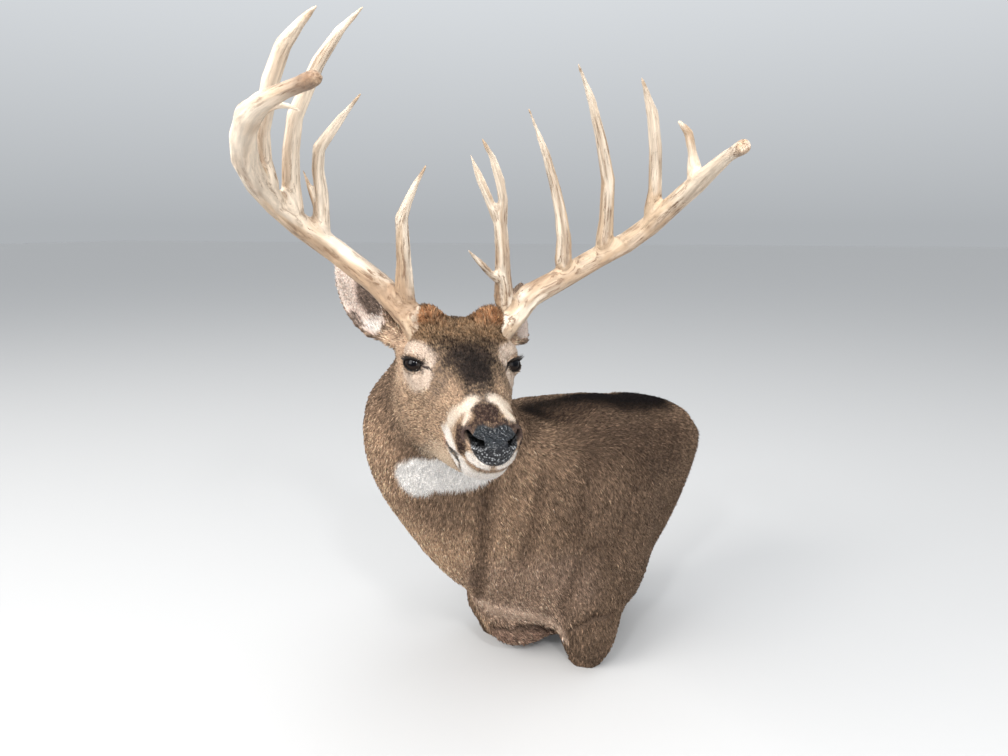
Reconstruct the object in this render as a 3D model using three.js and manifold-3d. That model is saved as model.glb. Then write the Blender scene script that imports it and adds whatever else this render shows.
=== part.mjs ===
// Whitetail buck shoulder mount, life size, in millimetres.
//
// +Z is up and +Y points into the wall. The origin is the middle of the back board's wall face.
// The body leaves the wall at a slant and faces -Y and -X; the neck lifts, and the head looks back to +X.
// Flesh is one implicit form made of sweeps and ellipsoids. It is meshed, then parted with thin cuts into
// trunk, neck, head, lower jaw, nose and foreleg stubs. Ears are cupped shells, antlers tapered tubes.
import * as THREE from "three";
import { mergeVertices } from "three/addons/utils/BufferGeometryUtils.js";
import Module from "manifold-3d";

const wasm = await Module();
wasm.setup();

const DEG = Math.PI / 180;
const GAP = 0.4; // width of a parting cut

// ---------------------------------------------------------------- driving dimensions
const BOARD_CENTRE_HEIGHT = 265; // of the board's middle above the level of the leg stubs' flats
const BODY_YAW = 32 * DEG; // the body's heading, from -Y towards -X
const BODY_ORIGIN = [32, 0]; // where the spine's plane meets the wall, X and Y
const HEAD = { eyes: [-138, -664, 645], yaw: 30 * DEG, pitch: 14 * DEG, roll: -3 * DEG };

const EYE_RADIUS = 15.5;
const EYE = { along: -3, side: 62, up: 2 }; // eyeball centre, from the point between the eyes
const SOCKET_ROOM = 0.4; // around an eyeball, an antler base or an ear base

const BOARD = { thickness: 13.6, inset: 20, gap: 0.4 };
const HANGER = { width: 90, height: 16, thickness: 2.4, above: 110 };

// ---------------------------------------------------------------- frames
const V = (x, y, z) => new THREE.Vector3(x, y, z);
const UP = V(0, 0, 1);

const bodyForward = V(-Math.sin(BODY_YAW), -Math.cos(BODY_YAW), 0);
const bodyLeft = V(Math.cos(BODY_YAW), -Math.sin(BODY_YAW), 0);

// A point of the trunk: distance ahead of the wall along the spine's plane, to the left, and up.
const body = (ahead, left, up) =>
  V(BODY_ORIGIN[0], BODY_ORIGIN[1], 0)
    .addScaledVector(bodyForward, ahead)
    .addScaledVector(bodyLeft, left)
    .addScaledVector(UP, up);

const headForward = V(
  Math.sin(HEAD.yaw) * Math.cos(HEAD.pitch),
  -Math.cos(HEAD.yaw) * Math.cos(HEAD.pitch),
  -Math.sin(HEAD.pitch),
);
const headLeft = V(Math.cos(HEAD.yaw), Math.sin(HEAD.yaw), 0).applyAxisAngle(headForward, HEAD.roll);
const headUp = headForward.clone().cross(headLeft);
const headOrigin = V(...HEAD.eyes);

// A point of the head: distance from the eyes towards the nose, to the left, and up.
const head = (along, left, up) =>
  headOrigin
    .clone()
    .addScaledVector(headForward, along)
    .addScaledVector(headLeft, left)
    .addScaledVector(headUp, up);

// ---------------------------------------------------------------- implicit forms
// Each form is a function of a point that is negative inside, in about millimetres.
const softUnion = (a, b, k) => {
  const h = Math.max(k - Math.abs(a - b), 0) / k;
  return Math.min(a, b) - h * h * k * 0.25;
};

// An ellipsoid with radii along three directions.
function ellipsoid(centre, directions, radii) {
  const small = Math.min(...radii);
  const [a, b, c] = directions.map((axis, i) => axis.clone().divideScalar(radii[i]));
  return (p) => {
    const x = p.x - centre.x, y = p.y - centre.y, z = p.z - centre.z;
    const u = x * a.x + y * a.y + z * a.z;
    const v = x * b.x + y * b.y + z * b.z;
    const w = x * c.x + y * c.y + z * c.z;
    return (Math.sqrt(u * u + v * v + w * w) - 1) * small;
  };
}

// A tapered limb with round ends.
function limb(a, b, ra, rb) {
  const ab = b.clone().sub(a);
  const length2 = ab.lengthSq();
  return (p) => {
    const x = p.x - a.x, y = p.y - a.y, z = p.z - a.z;
    const t = THREE.MathUtils.clamp((x * ab.x + y * ab.y + z * ab.z) / length2, 0, 1);
    return Math.hypot(x - ab.x * t, y - ab.y * t, z - ab.z * t) - (ra + (rb - ra) * t);
  };
}

const catmull = (a, b, c, d, t) =>
  0.5 * (2 * b + (c - a) * t + (2 * a - 5 * b + 4 * c - d) * t * t + (3 * b - a - 3 * c + d) * t * t * t);

// A sweep through stations {at, left, side, up, down, crown, keel}: an oval section with its own height
// above and below the line. Its upper and lower halves are ellipses at an exponent of 2, fuller above
// that and slimmer below it.
function sweep(stations, steps) {
  const keys = ["side", "up", "down", "crown", "keel"];
  const fine = [];
  const last = stations.length - 1;
  for (let i = 0; i < last; i++)
    for (let j = 0; j < steps || (i === last - 1 && j === steps); j++) {
      const t = j / steps;
      const four = [Math.max(i - 1, 0), i, i + 1, Math.min(i + 2, last)].map((k) => stations[k]);
      const mixed = (pick) => catmull(...four.map(pick), t);
      const station = {
        at: V(mixed((s) => s.at.x), mixed((s) => s.at.y), mixed((s) => s.at.z)),
        left: V(mixed((s) => s.left.x), mixed((s) => s.left.y), mixed((s) => s.left.z)),
      };
      for (const key of keys) station[key] = mixed((s) => s[key]);
      fine.push(station);
    }
  const pieces = fine.slice(1).map((b, i) => {
    const a = fine[i];
    const along = b.at.clone().sub(a.at);
    const length = along.length();
    along.normalize();
    const left = a.left.clone().add(b.left);
    left.addScaledVector(along, -left.dot(along)).normalize();
    return { a, b, along, length, left, up: along.clone().cross(left) };
  });
  return (p) => {
    let best = Infinity;
    for (const s of pieces) {
      const dx = p.x - s.a.at.x, dy = p.y - s.a.at.y, dz = p.z - s.a.at.z;
      const y = dx * s.along.x + dy * s.along.y + dz * s.along.z;
      const t = Math.min(Math.max(y / s.length, 0), 1);
      const over = y - t * s.length;
      const x = dx * s.left.x + dy * s.left.y + dz * s.left.z;
      const z = dx * s.up.x + dy * s.up.y + dz * s.up.z;
      const mix = (key) => s.a[key] + (s.b[key] - s.a[key]) * t;
      const w = mix("side");
      const h = mix(z > 0 ? "up" : "down");
      const n = mix(z > 0 ? "crown" : "keel");
      const small = Math.min(w, h);
      const r = Math.pow(Math.pow(Math.abs(x / w), n) + Math.pow(Math.abs(z / h), n), 1 / n);
      const d = (Math.hypot(r, over / (small * 0.8)) - 1) * small;
      if (d < best) best = d;
    }
    return best;
  };
}

// ---------------------------------------------------------------- the deer's flesh
// Trunk profile: distance ahead of the wall, half width, the heights of the back, the widest line and the
// belly, and how full the lower half is.
const TRUNK = [
  [-110, 115, 470, 385, 60, 1.28],
  [30, 121, 478, 385, 55, 1.34],
  [120, 129, 483, 380, 50, 1.42],
  [210, 138, 488, 370, 48, 1.47],
  [300, 132, 478, 350, 60, 1.47],
  [380, 112, 450, 330, 95, 1.47],
  [430, 80, 400, 300, 150, 1.47],
];
const TRUNK_CROWN = 2.15;
const SWEEP_STEPS = 5; // lengths between two stations of a sweep
const trunk = sweep(
  TRUNK.map(([ahead, side, back, widest, belly, keel]) => ({
    at: body(ahead, 0, widest),
    left: bodyLeft,
    side,
    up: back - widest,
    down: widest - belly,
    crown: TRUNK_CROWN,
    keel,
  })),
  SWEEP_STEPS,
);

// Neck: distance ahead, to the left and up of the middle line, the turn from the body's facing (0) to the
// head's (1), half width, and the depth towards the nape and towards the throat.
const NECK = [
  [230, 0, 290, 0, 128, 184, 190],
  [360, 0, 345, 0, 128, 134, 205],
  [450, -19, 420, 0.1, 138, 106, 177],
  [518, -9, 492, 0.3, 141, 98, 150],
  [566, 47, 556, 0.6, 107, 84, 112],
];
const neck = sweep(
  [
    ...NECK.map(([ahead, left, up, turn, side, nape, throat]) => ({
      at: body(ahead, left, up),
      left: bodyLeft.clone().lerp(headLeft, turn),
      side,
      up: nape,
      down: throat,
      crown: 2,
      keel: 2,
    })),
    { at: head(-92, 0, -24), left: headLeft, side: 64, up: 46, down: 74, crown: 2, keel: 2 },
  ],
  SWEEP_STEPS,
);

// Head profile: distance ahead of the eyes, the heights of its top and underside, and half width.
const SKULL = [
  [-122, 28, -80, 51],
  [-95, 35, -118, 66],
  [-60, 38, -141, 72],
  [-20, 41, -139, 64],
  [15, 39, -130, 56],
  [50, 35, -118, 48],
  [90, 31, -101, 40],
  [130, 27, -81, 35],
  [158, 23, -58, 33.5],
  [176, 15, -46, 31],
  [190, 5, -28, 21],
];
const skull = sweep(
  SKULL.map(([along, top, bottom, side]) => {
    const middle = Math.max(top - side, (top + bottom) / 2 + 12);
    const at = head(along, 0, middle);
    return { at, left: headLeft, side, up: top - middle, down: middle - bottom, crown: 2.3, keel: 2.6 };
  }),
  SWEEP_STEPS,
);

const bodyAxes = [bodyForward, bodyLeft, UP];
const headAxes = [headForward, headLeft, headUp];
const SIDES = [-1, 1]; // the right, then the left

const headExtras = [
  ...SIDES.map((s) => [ellipsoid(head(-16, s * 50, 11), headAxes, [34, 28, 24]), 16]), // brow and orbit
  ...SIDES.map((s) => [limb(head(14, s * 48, -16), head(84, s * 30, -16), 15, 10), 22]), // cheek ridge
  ...SIDES.map((s) => [ellipsoid(head(-44, s * 52, -70), headAxes, [46, 24, 50]), 26]), // jaw muscle
  ...SIDES.map((s) => [limb(head(-60, s * 30, 28), head(-62, s * 46, 45), 26, 22), 16]), // antler mound
  ...SIDES.map((s) => [ellipsoid(head(168, s * 22, -6), headAxes, [20, 16, 17]), 10]), // nostril wing
  ...SIDES.map((s) => [limb(head(-92, s * 50, 2), head(-104, s * 84, 11), 24, 17), 20]), // ear base
  [ellipsoid(head(152, 0, -52), headAxes, [28, 25, 15]), 12], // chin
];

const headField = (p) => headExtras.reduce((d, [form, k]) => softUnion(d, form(p), k), skull(p));

// The two foreleg stubs stand a stride apart.
const STRIDE = 27;
const stubPoint = (side, ahead, left, up) => body(ahead - side * STRIDE, side * left, up);

const shoulderExtras = [
  ...SIDES.map((s) => [ellipsoid(stubPoint(s, 280, 84, 290), bodyAxes, [105, 62, 170]), 60]), // shoulder
  ...SIDES.map((s) => [limb(stubPoint(s, 312, 92, 190), stubPoint(s, 304, 116, 70), 62, 46), 46]), // arm
  ...SIDES.map((s) => [limb(stubPoint(s, 306, 113, 72), stubPoint(s, 300, 98, 4), 45, 36), 26]), // stub
  ...SIDES.map((s) => [ellipsoid(stubPoint(s, 215, 92, 178), bodyAxes, [90, 46, 100]), 50]), // elbow
  [ellipsoid(body(326, -16, 118), bodyAxes, [106, 62, 110]), 50], // brisket
  [limb(body(-110, 0, 100), body(330, 0, 88), 34, 34), 26], // belly
];

const bodyField = (p) =>
  softUnion(
    shoulderExtras.reduce((d, [form, k]) => softUnion(d, form(p), k), softUnion(trunk(p), neck(p), 70)),
    headField(p),
    30,
  );

// ---------------------------------------------------------------- meshing
function indexed(points, triangles) {
  const positions = new Float32Array(points.flatMap((q) => q.toArray()));
  const geometry = new THREE.BufferGeometry();
  geometry.setAttribute("position", new THREE.BufferAttribute(positions, 3));
  geometry.setIndex(triangles);
  return geometry;
}

// Naive surface nets over a box, each vertex then pulled onto the surface.
function meshOf(field, low, high, cell) {
  const n = [0, 1, 2].map((i) => Math.ceil((high.getComponent(i) - low.getComponent(i)) / cell) + 1);
  const index = (i, j, k) => (k * n[1] + j) * n[0] + i;
  const values = new Float32Array(n[0] * n[1] * n[2]);
  const p = V(0, 0, 0);
  for (let k = 0; k < n[2]; k++)
    for (let j = 0; j < n[1]; j++)
      for (let i = 0; i < n[0]; i++) {
        p.set(low.x + i * cell, low.y + j * cell, low.z + k * cell);
        const edge = i === 0 || j === 0 || k === 0 || i === n[0] - 1 || j === n[1] - 1 || k === n[2] - 1;
        values[index(i, j, k)] = edge ? cell : field(p);
      }
  const points = [];
  const cellPoint = new Map();
  const corners = [...Array(8).keys()].map((c) => [c & 1, (c >> 1) & 1, c >> 2]);
  const edges = [];
  for (let a = 0; a < 8; a++) for (const bit of [1, 2, 4]) if (!(a & bit)) edges.push([a, a | bit]);
  for (let k = 0; k < n[2] - 1; k++)
    for (let j = 0; j < n[1] - 1; j++)
      for (let i = 0; i < n[0] - 1; i++) {
        const v = corners.map(([x, y, z]) => values[index(i + x, j + y, k + z)]);
        const sum = V(0, 0, 0);
        let count = 0;
        for (const [a, b] of edges)
          if (v[a] < 0 !== v[b] < 0) {
            const t = v[a] / (v[a] - v[b]);
            sum.x += corners[a][0] + t * (corners[b][0] - corners[a][0]);
            sum.y += corners[a][1] + t * (corners[b][1] - corners[a][1]);
            sum.z += corners[a][2] + t * (corners[b][2] - corners[a][2]);
            count++;
          }
        if (!count) continue;
        sum.divideScalar(count).add(V(i, j, k)).multiplyScalar(cell).add(low);
        cellPoint.set(index(i, j, k), points.length);
        points.push(sum);
      }
  const e = cell * 0.05;
  for (const q of points)
    for (let round = 0; round < 2; round++) {
      const f = field(q);
      const g = V(
        field(V(q.x + e, q.y, q.z)) - field(V(q.x - e, q.y, q.z)),
        field(V(q.x, q.y + e, q.z)) - field(V(q.x, q.y - e, q.z)),
        field(V(q.x, q.y, q.z + e)) - field(V(q.x, q.y, q.z - e)),
      ).divideScalar(2 * e);
      const step = THREE.MathUtils.clamp(f / Math.max(g.lengthSq(), 0.05), -cell * 0.4, cell * 0.4);
      q.addScaledVector(g, -step);
    }
  const triangles = [];
  const strides = [[1, 0, 0], [0, 1, 0], [0, 0, 1]];
  for (let k = 0; k < n[2] - 1; k++)
    for (let j = 0; j < n[1] - 1; j++)
      for (let i = 0; i < n[0] - 1; i++)
        for (let axis = 0; axis < 3; axis++) {
          const [x, y, z] = strides[axis];
          if ((!x && !i) || (!y && !j) || (!z && !k)) continue;
          const a = values[index(i, j, k)] < 0;
          const b = values[index(i + x, j + y, k + z)] < 0;
          if (a === b) continue;
          const [u, w] = [strides[(axis + 1) % 3], strides[(axis + 2) % 3]];
          const around = [[0, 0], [1, 0], [1, 1], [0, 1]].map(([s, t]) =>
            cellPoint.get(index(i - s * u[0] - t * w[0], j - s * u[1] - t * w[1], k - s * u[2] - t * w[2])),
          );
          if (!a) around.reverse();
          triangles.push(around[0], around[1], around[2], around[0], around[2], around[3]);
        }
  return indexed(points, triangles);
}

// ---------------------------------------------------------------- solids
function solidOf(geometry) {
  const bare = geometry.index ? geometry.toNonIndexed() : geometry.clone();
  const clean = new THREE.BufferGeometry().setAttribute("position", bare.getAttribute("position"));
  const merged = mergeVertices(clean, 1e-3);
  return new wasm.Manifold(
    new wasm.Mesh({
      numProp: 3,
      vertProperties: merged.attributes.position.array,
      triVerts: new Uint32Array(merged.index.array),
    }),
  );
}

function geometryOf(solid) {
  const m = solid.getMesh();
  const positions = new Float32Array(m.numVert * 3);
  for (let i = 0; i < m.numVert; i++)
    positions.set(m.vertProperties.subarray(i * m.numProp, i * m.numProp + 3), i * 3);
  const geometry = new THREE.BufferGeometry();
  geometry.setAttribute("position", new THREE.BufferAttribute(positions, 3));
  geometry.setIndex(new THREE.BufferAttribute(new Uint32Array(m.triVerts), 1));
  geometry.computeVertexNormals();
  return geometry;
}

// The space in front of all the given planes {at, facing}, drawn back from each by `room`.
const BIG = 2400;
function inFrontOf(planes, room = 0) {
  const halves = planes.map(({ at, facing }) => {
    const n = facing.clone().normalize();
    const box = new THREE.BoxGeometry(BIG, BIG, BIG).translate(0, 0, BIG / 2 - room);
    box.applyQuaternion(new THREE.Quaternion().setFromUnitVectors(UP, n)).translate(at.x, at.y, at.z);
    return solidOf(box);
  });
  return halves.reduce((a, b) => a.intersect(b));
}

// Parts a solid with a thin cut around the space in front of the planes: [what lies in it, the rest].
const part = (solid, planes) => [solid.intersect(inFrontOf(planes)), solid.subtract(inFrontOf(planes, GAP))];

// A closed skin over rings of points, each ring an even number of points wound alike. Each end is closed
// by a strip that joins the ring's first half to its second, so a crescent ring stays a crescent.
function loft(rings) {
  const count = rings[0].length;
  const points = rings.flat();
  const triangles = [];
  for (let i = 0; i < rings.length - 1; i++)
    for (let j = 0; j < count; j++) {
      const k = (j + 1) % count;
      const [a, b, c, d] = [i * count + j, i * count + k, (i + 1) * count + k, (i + 1) * count + j];
      triangles.push(a, b, c, a, c, d);
    }
  const end = (rings.length - 1) * count;
  for (let j = 0; j < count / 2 - 1; j++) {
    const [a, b, c, d] = [j, j + 1, count - 2 - j, count - 1 - j];
    triangles.push(c, b, a, d, c, a);
    triangles.push(end + a, end + b, end + c, end + a, end + c, end + d);
  }
  return indexed(points, triangles);
}

// ---------------------------------------------------------------- antlers
// A round tapered tube through stations [along, side, up, radius] of the head.
function tube(stations, sides, perSpan, grow = 0) {
  const last = stations.length - 1;
  const rings = [];
  let normal = V(0.3, 0.2, 1);
  for (let i = 0; i < last; i++)
    for (let j = 0; j < perSpan || (i === last - 1 && j === perSpan); j++) {
      const four = [Math.max(i - 1, 0), i, i + 1, Math.min(i + 2, last)].map((k) => stations[k]);
      const sample = (t) => [0, 1, 2, 3].map((key) => catmull(...four.map((s) => s[key]), t));
      const [x, y, z, r] = sample(j / perSpan);
      const [u, v, w] = sample(j / perSpan + 0.01);
      const along = head(u, v, w).sub(head(x, y, z)).normalize();
      normal = normal.clone().addScaledVector(along, -normal.dot(along)).normalize();
      const side = along.clone().cross(normal);
      const beyond = i + j === 0 ? -grow : 0;
      rings.push(
        [...Array(sides).keys()].map((k) => {
          const turn = (2 * Math.PI * k) / sides;
          return head(x, y, z)
            .addScaledVector(along, beyond)
            .addScaledVector(normal, Math.cos(turn) * (r + grow))
            .addScaledVector(side, Math.sin(turn) * (r + grow));
        }),
      );
    }
  return solidOf(loft(rings));
}

// Each antler: the beam, where the beam is parted, and its tines with the kickers that grow from them.
const ANTLERS = {
  right: {
    beam: [
      [-58, -44, 14, 19], [-66, -62, 44, 20], [-98, -107, 79, 17], [-114, -160, 116, 16],
      [-105, -208, 153, 15.5], [-80, -237, 185, 14.8], [-45, -255, 215, 14.2], [0, -263, 248, 15],
      [50, -260, 281, 13.6], [95, -251, 306, 11.5], [140, -235, 324, 9], [185, -214, 339, 6.8],
      [215, -197, 349, 6.2], [232, -188, 355, 4.5],
    ],
    cuts: [3.5, 6.6],
    tines: [
      [
        [
          [-68, -68, 58, 10], [-70, -74, 84, 13], [-60, -78, 123, 9.5], [-40, -86, 185, 8],
          [-30, -80, 209, 5.5], [-20, -74, 230, 4.2], [-5, -64, 257, 1.3],
        ],
      ],
      [
        [
          [-112, -178, 132, 10], [-108, -182, 160, 11.5], [-98, -181, 195, 8.5], [-85, -186, 228, 7.5],
          [-70, -185, 256, 7.5], [-45, -162, 293, 4.8], [-20, -139, 327, 1.3],
        ],
        [
          [-103, -186, 176, 5], [-100, -195, 200, 3.6], [-96, -204, 225, 1.2],
        ],
      ],
      [
        [
          [-100, -212, 157, 10], [-97, -217, 178, 14], [-84, -218, 210, 11], [-62, -217, 253, 10],
          [-35, -211, 295, 9], [5, -186, 355, 7], [30, -165, 388, 4.8], [50, -143, 412, 1.3],
        ],
      ],
      [
        [
          [-70, -240, 190, 9], [-62, -243, 212, 12], [-45, -246, 242, 8.6], [-20, -246, 278, 8.6],
          [15, -234, 333, 9.3], [40, -220, 369, 8], [58, -203, 391, 5], [75, -187, 408, 1.3],
        ],
      ],
      [
        [
          [90, -250, 302, 7], [84, -240, 311, 6], [76, -227, 316, 4.4], [70, -215, 315, 3.4],
          [66, -203, 311, 1.2],
        ],
      ],
    ],
  },
  left: {
    beam: [
      [-58, 46, 10, 19], [-66, 70, 38, 20], [-88, 107, 73, 17.5], [-104, 160, 98, 16.5],
      [-105, 210, 130, 15.5], [-95, 241, 153, 15], [-72, 263, 186, 14.5], [-30, 272, 227, 13.2],
      [15, 271, 259, 12.4], [60, 264, 285, 9.5], [105, 254, 308, 7.4], [150, 244, 324, 6.6],
    ],
    cuts: [3.6, 5.6],
    tines: [
      [
        [
          [-70, 70, 50, 10], [-70, 64, 76, 13.5], [-58, 56, 110, 10.5], [-46, 48, 148, 9.5],
          [-35, 39, 184, 8.5], [-22, 36, 218, 5.8], [-10, 26, 244, 5.8], [3, 11, 272, 4.4],
          [18, -8, 295, 1.3],
        ],
        [
          [-38, 41, 176, 6], [-25, 19, 216, 5.4], [-14, 2, 244, 5], [0, -15, 273, 1.3],
        ],
        [
          [-60, 56, 100, 6], [-45, 34, 117, 4.6], [-32, 16, 135, 4.2], [-20, -3, 153, 1.3],
        ],
      ],
      [
        [
          [-104, 160, 92, 10], [-100, 153, 122, 12.5], [-92, 147, 154, 10.5], [-82, 134, 191, 8],
          [-70, 118, 226, 6.8], [-52, 93, 272, 5], [-25, 55, 328, 1.3],
        ],
      ],
      [
        [
          [-104, 214, 125, 10], [-99, 210, 156, 13], [-90, 204, 186, 10.2], [-68, 188, 244, 9.2],
          [-42, 160, 296, 7.4], [-15, 129, 344, 5.2], [12, 96, 383, 1.3],
        ],
      ],
      [
        [
          [-72, 263, 184, 9], [-66, 259, 208, 12], [-55, 252, 237, 9.2], [-32, 231, 291, 8.2],
          [-12, 209, 334, 7.2], [0, 192, 356, 4.6], [12, 175, 376, 1.3],
        ],
      ],
      [
        [
          [14, 270, 256, 8], [18, 264, 277, 9.5], [24, 254, 296, 5.8], [32, 238, 322, 4.7],
          [38, 219, 334, 2.6],
        ],
      ],
    ],
  },
};

const antlerPieces = {};
const antlerBases = [];
for (const [side, { beam, cuts, tines }] of Object.entries(ANTLERS)) {
  const whole = tube(beam, 8, 1);
  const room = tube(beam, 8, 1, SOCKET_ROOM);
  antlerBases.push(room, tube(tines[0][0], 8, 1, SOCKET_ROOM));
  let rest = whole;
  cuts.forEach((cut, i) => {
    const k = Math.floor(cut);
    const at = (j) => head(...beam[j].slice(0, 3));
    const facing = at(k + 1).sub(at(k));
    const [outer, inner] = part(rest, [{ at: at(k).addScaledVector(facing, cut - k), facing }]);
    antlerPieces[`antler_${side}_beam_${i + 1}`] = inner;
    rest = outer;
  });
  antlerPieces[`antler_${side}_beam_${cuts.length + 1}`] = rest;
  tines.forEach((branches, i) => {
    const joined = branches.map((stations) => tube(stations, 8, 1)).reduce((a, b) => a.add(b));
    antlerPieces[`antler_${side}_tine_${i + 1}`] = joined.subtract(room);
  });
}

// ---------------------------------------------------------------- ears
// A cupped leaf from its root [along, side, up], along an axis, open towards a second direction.
const EARS = {
  right: { side: -1, root: [-98, 74, 6], axis: [-0.69, 0.53, 0.5], open: [0.5, 0.75, 0.2] },
  left: { side: 1, root: [-98, 77, 7], axis: [-0.9, 0.42, 0.12], open: [0.35, 0.85, 0.2] },
};
const EAR_LENGTH = 164;
// Share of the length, half width across the chord, half angle of the wall's arc in degrees, thickness.
const EAR_SECTIONS = [
  [-0.06, 17, 150, 14],
  [0.06, 21, 140, 9],
  [0.18, 29, 112, 7],
  [0.34, 36, 92, 6],
  [0.52, 39, 80, 5.5],
  [0.7, 34, 72, 5],
  [0.85, 25, 62, 4.5],
  [0.95, 12, 50, 4],
  [1, 4, 40, 3],
];
const EAR_STEPS = 6; // facets across the wall

function ear({ side, root, axis, open }, grow = 0) {
  const toHead = ([along, left, up]) => head(along, side * left, up).sub(headOrigin);
  const outward = toHead(axis).normalize();
  const mouth = toHead(open);
  mouth.addScaledVector(outward, -mouth.dot(outward)).normalize();
  const across = mouth.clone().cross(outward);
  const rings = EAR_SECTIONS.map(([share, half, degrees, thickness]) => {
    const radius = half / Math.sin(Math.min(degrees * DEG, Math.PI / 2));
    const angle = degrees * DEG;
    const distance = share * EAR_LENGTH - (share < 0 ? grow : 0);
    const middle = head(root[0], side * root[1], root[2]).addScaledVector(outward, distance);
    const onArc = (turn, r) => {
      const past = Math.abs(turn) > angle - 1e-6 ? Math.sign(turn) * grow : 0; // beyond the wall's edge
      return middle
        .clone()
        .addScaledVector(mouth, radius * 0.6 - r * Math.cos(turn) + past * Math.sin(turn))
        .addScaledVector(across, r * Math.sin(turn) + past * Math.cos(turn));
    };
    const turns = [...Array(EAR_STEPS + 1).keys()].map((k) => angle * ((2 * k) / EAR_STEPS - 1));
    return [
      ...turns.map((turn) => onArc(turn, radius + grow)),
      ...turns.reverse().map((turn) => onArc(turn, radius - thickness - grow)),
    ];
  });
  return solidOf(loft(rings));
}

// ---------------------------------------------------------------- the flesh, parted
const wall = { at: V(0, -BOARD.thickness - BOARD.gap, 0), facing: V(0, -1, 0) };
const level = { at: V(0, 0, 0), facing: UP };
const shoulderPlane = { at: body(400, 0, 300), facing: bodyForward.clone().addScaledVector(UP, 0.5) };
const nape = { at: head(-120, 0, -20), facing: headForward.clone().addScaledVector(headUp, 0.3) };
const throat = { at: head(-60, 0, -147), facing: headUp.clone().addScaledVector(headForward, -0.1) };
const mouthCorner = { at: head(112, 0, -44), facing: headForward };
const lips = { at: head(150, 0, -42), facing: headUp.clone().negate() };
const upperLip = { at: head(150, 0, -42), facing: headUp };
const nosePlane = { at: head(173, 0, 0), facing: headForward.clone().addScaledVector(headUp, 0.2) };

const coarse = solidOf(meshOf(bodyField, V(-420, -740, -48), V(300, 60, 780), 36));
const carcass = coarse.intersect(inFrontOf([wall, level]));
const [, headless] = part(carcass, [nape, throat]);
const [neckPiece, trunkAndLegs] = part(headless, [shoulderPlane]);
const stubPlanes = (s) => [
  { at: V(0, 0, 84), facing: UP.clone().negate() },
  { at: body(0, s * 66, 0), facing: bodyLeft.clone().multiplyScalar(s) },
];
const [rightStub, withLeft] = part(trunkAndLegs, stubPlanes(-1));
const [leftStub, trunkPiece] = part(withLeft, stubPlanes(1));

const fine = solidOf(meshOf(bodyField, V(-330, -880, 470), V(60, -480, 770), 16.4));
const [wholeHead] = part(fine, [nape, throat]);
const [, headAndNose] = part(wholeHead, [mouthCorner, lips]);
const [, rawHead] = part(headAndNose, [nosePlane, upperLip]);

const muzzle = solidOf(meshOf(headField, V(-150, -880, 500), V(30, -700, 660), 9.5));
const [jawPiece, upperMuzzle] = part(muzzle, [mouthCorner, lips]);
const [nosePiece] = part(upperMuzzle, [nosePlane, upperLip]);

function eyeball(s, grow = 0) {
  const centre = head(EYE.along, s * EYE.side, EYE.up);
  return solidOf(new THREE.SphereGeometry(EYE_RADIUS + grow, 12, 8).translate(...centre.toArray()));
}

const hollows = [
  ...antlerBases,
  ...SIDES.map((s) => eyeball(s, SOCKET_ROOM)),
  ...Object.values(EARS).map((shape) => ear(shape, SOCKET_ROOM)),
];
const hollowed = (solid) => hollows.reduce((rest, hollow) => rest.subtract(hollow), solid);

// ---------------------------------------------------------------- board
// The board fills the cut end of the trunk, set in from its edge, with a hanger let into its wall face.
function backBoard() {
  const [, side, back, widest, belly, keel] = TRUNK[1];
  const around = [...Array(36).keys()].map((k) => (2 * Math.PI * k) / 36);
  const outline = around.map((turn) => {
    const [c, s] = [Math.cos(turn), Math.sin(turn)];
    const power = 2 / (s > 0 ? TRUNK_CROWN : keel);
    const height = (s > 0 ? back - widest : widest - belly) - BOARD.inset;
    return new THREE.Vector2(
      BODY_ORIGIN[0] + (Math.sign(c) * Math.abs(c) ** power * (side - BOARD.inset)) / Math.cos(BODY_YAW),
      widest + Math.sign(s) * Math.abs(s) ** power * height,
    );
  });
  const depth = { depth: BOARD.thickness, bevelEnabled: false };
  const board = new THREE.ExtrudeGeometry(new THREE.Shape(outline), depth);
  return solidOf(board.rotateX(Math.PI / 2));
}

function hanger(grow = 0) {
  const { width, height, thickness, above } = HANGER;
  const plate = new THREE.BoxGeometry(width + 2 * grow, thickness + 2 * grow, height + 2 * grow);
  return solidOf(plate.translate(BODY_ORIGIN[0], -thickness / 2, BOARD_CENTRE_HEIGHT + above));
}

// ---------------------------------------------------------------- model
const COAT = { color: 0x75604a, roughness: 0.95 };
const NOSE = { color: 0x1c1a1a, roughness: 0.35 };
const THROAT = { color: 0xd9cfc0, roughness: 0.95 };
const EYE_GLASS = { color: 0x0d0805, roughness: 0.05 };
const ANTLER = { color: 0xcdb894, roughness: 0.6 };
const WOOD = { color: 0xa9865c, roughness: 0.7 };
const STEEL = { color: 0x8d9093, roughness: 0.4, metalness: 1 };

const model = new THREE.Group();
model.position.z = -BOARD_CENTRE_HEIGHT;

function add(name, solid, look) {
  const mesh = new THREE.Mesh(geometryOf(solid), new THREE.MeshStandardMaterial({ metalness: 0, ...look }));
  mesh.name = name;
  model.add(mesh);
}

add("trunk", trunkPiece, COAT);
add("foreleg_right", rightStub, COAT);
add("foreleg_left", leftStub, COAT);
add("neck", hollowed(neckPiece), COAT);
add("head", hollowed(rawHead), COAT);
add("lower_jaw", jawPiece, THROAT);
add("nose", nosePiece, NOSE);
SIDES.forEach((s) => add(s < 0 ? "eye_right" : "eye_left", eyeball(s), EYE_GLASS));
for (const [side, shape] of Object.entries(EARS)) add(`ear_${side}`, ear(shape), COAT);
for (const [name, solid] of Object.entries(antlerPieces)) add(name, solid, ANTLER);

add("back_board", backBoard().subtract(hanger(GAP)), WOOD);
add("hanger", hanger(), STEEL);

const root = new THREE.Group();
root.add(model);
export default root;
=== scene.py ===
"""A whitetail buck shoulder mount: one skin over all the flesh, its coat, eyes and antlers."""

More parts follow.
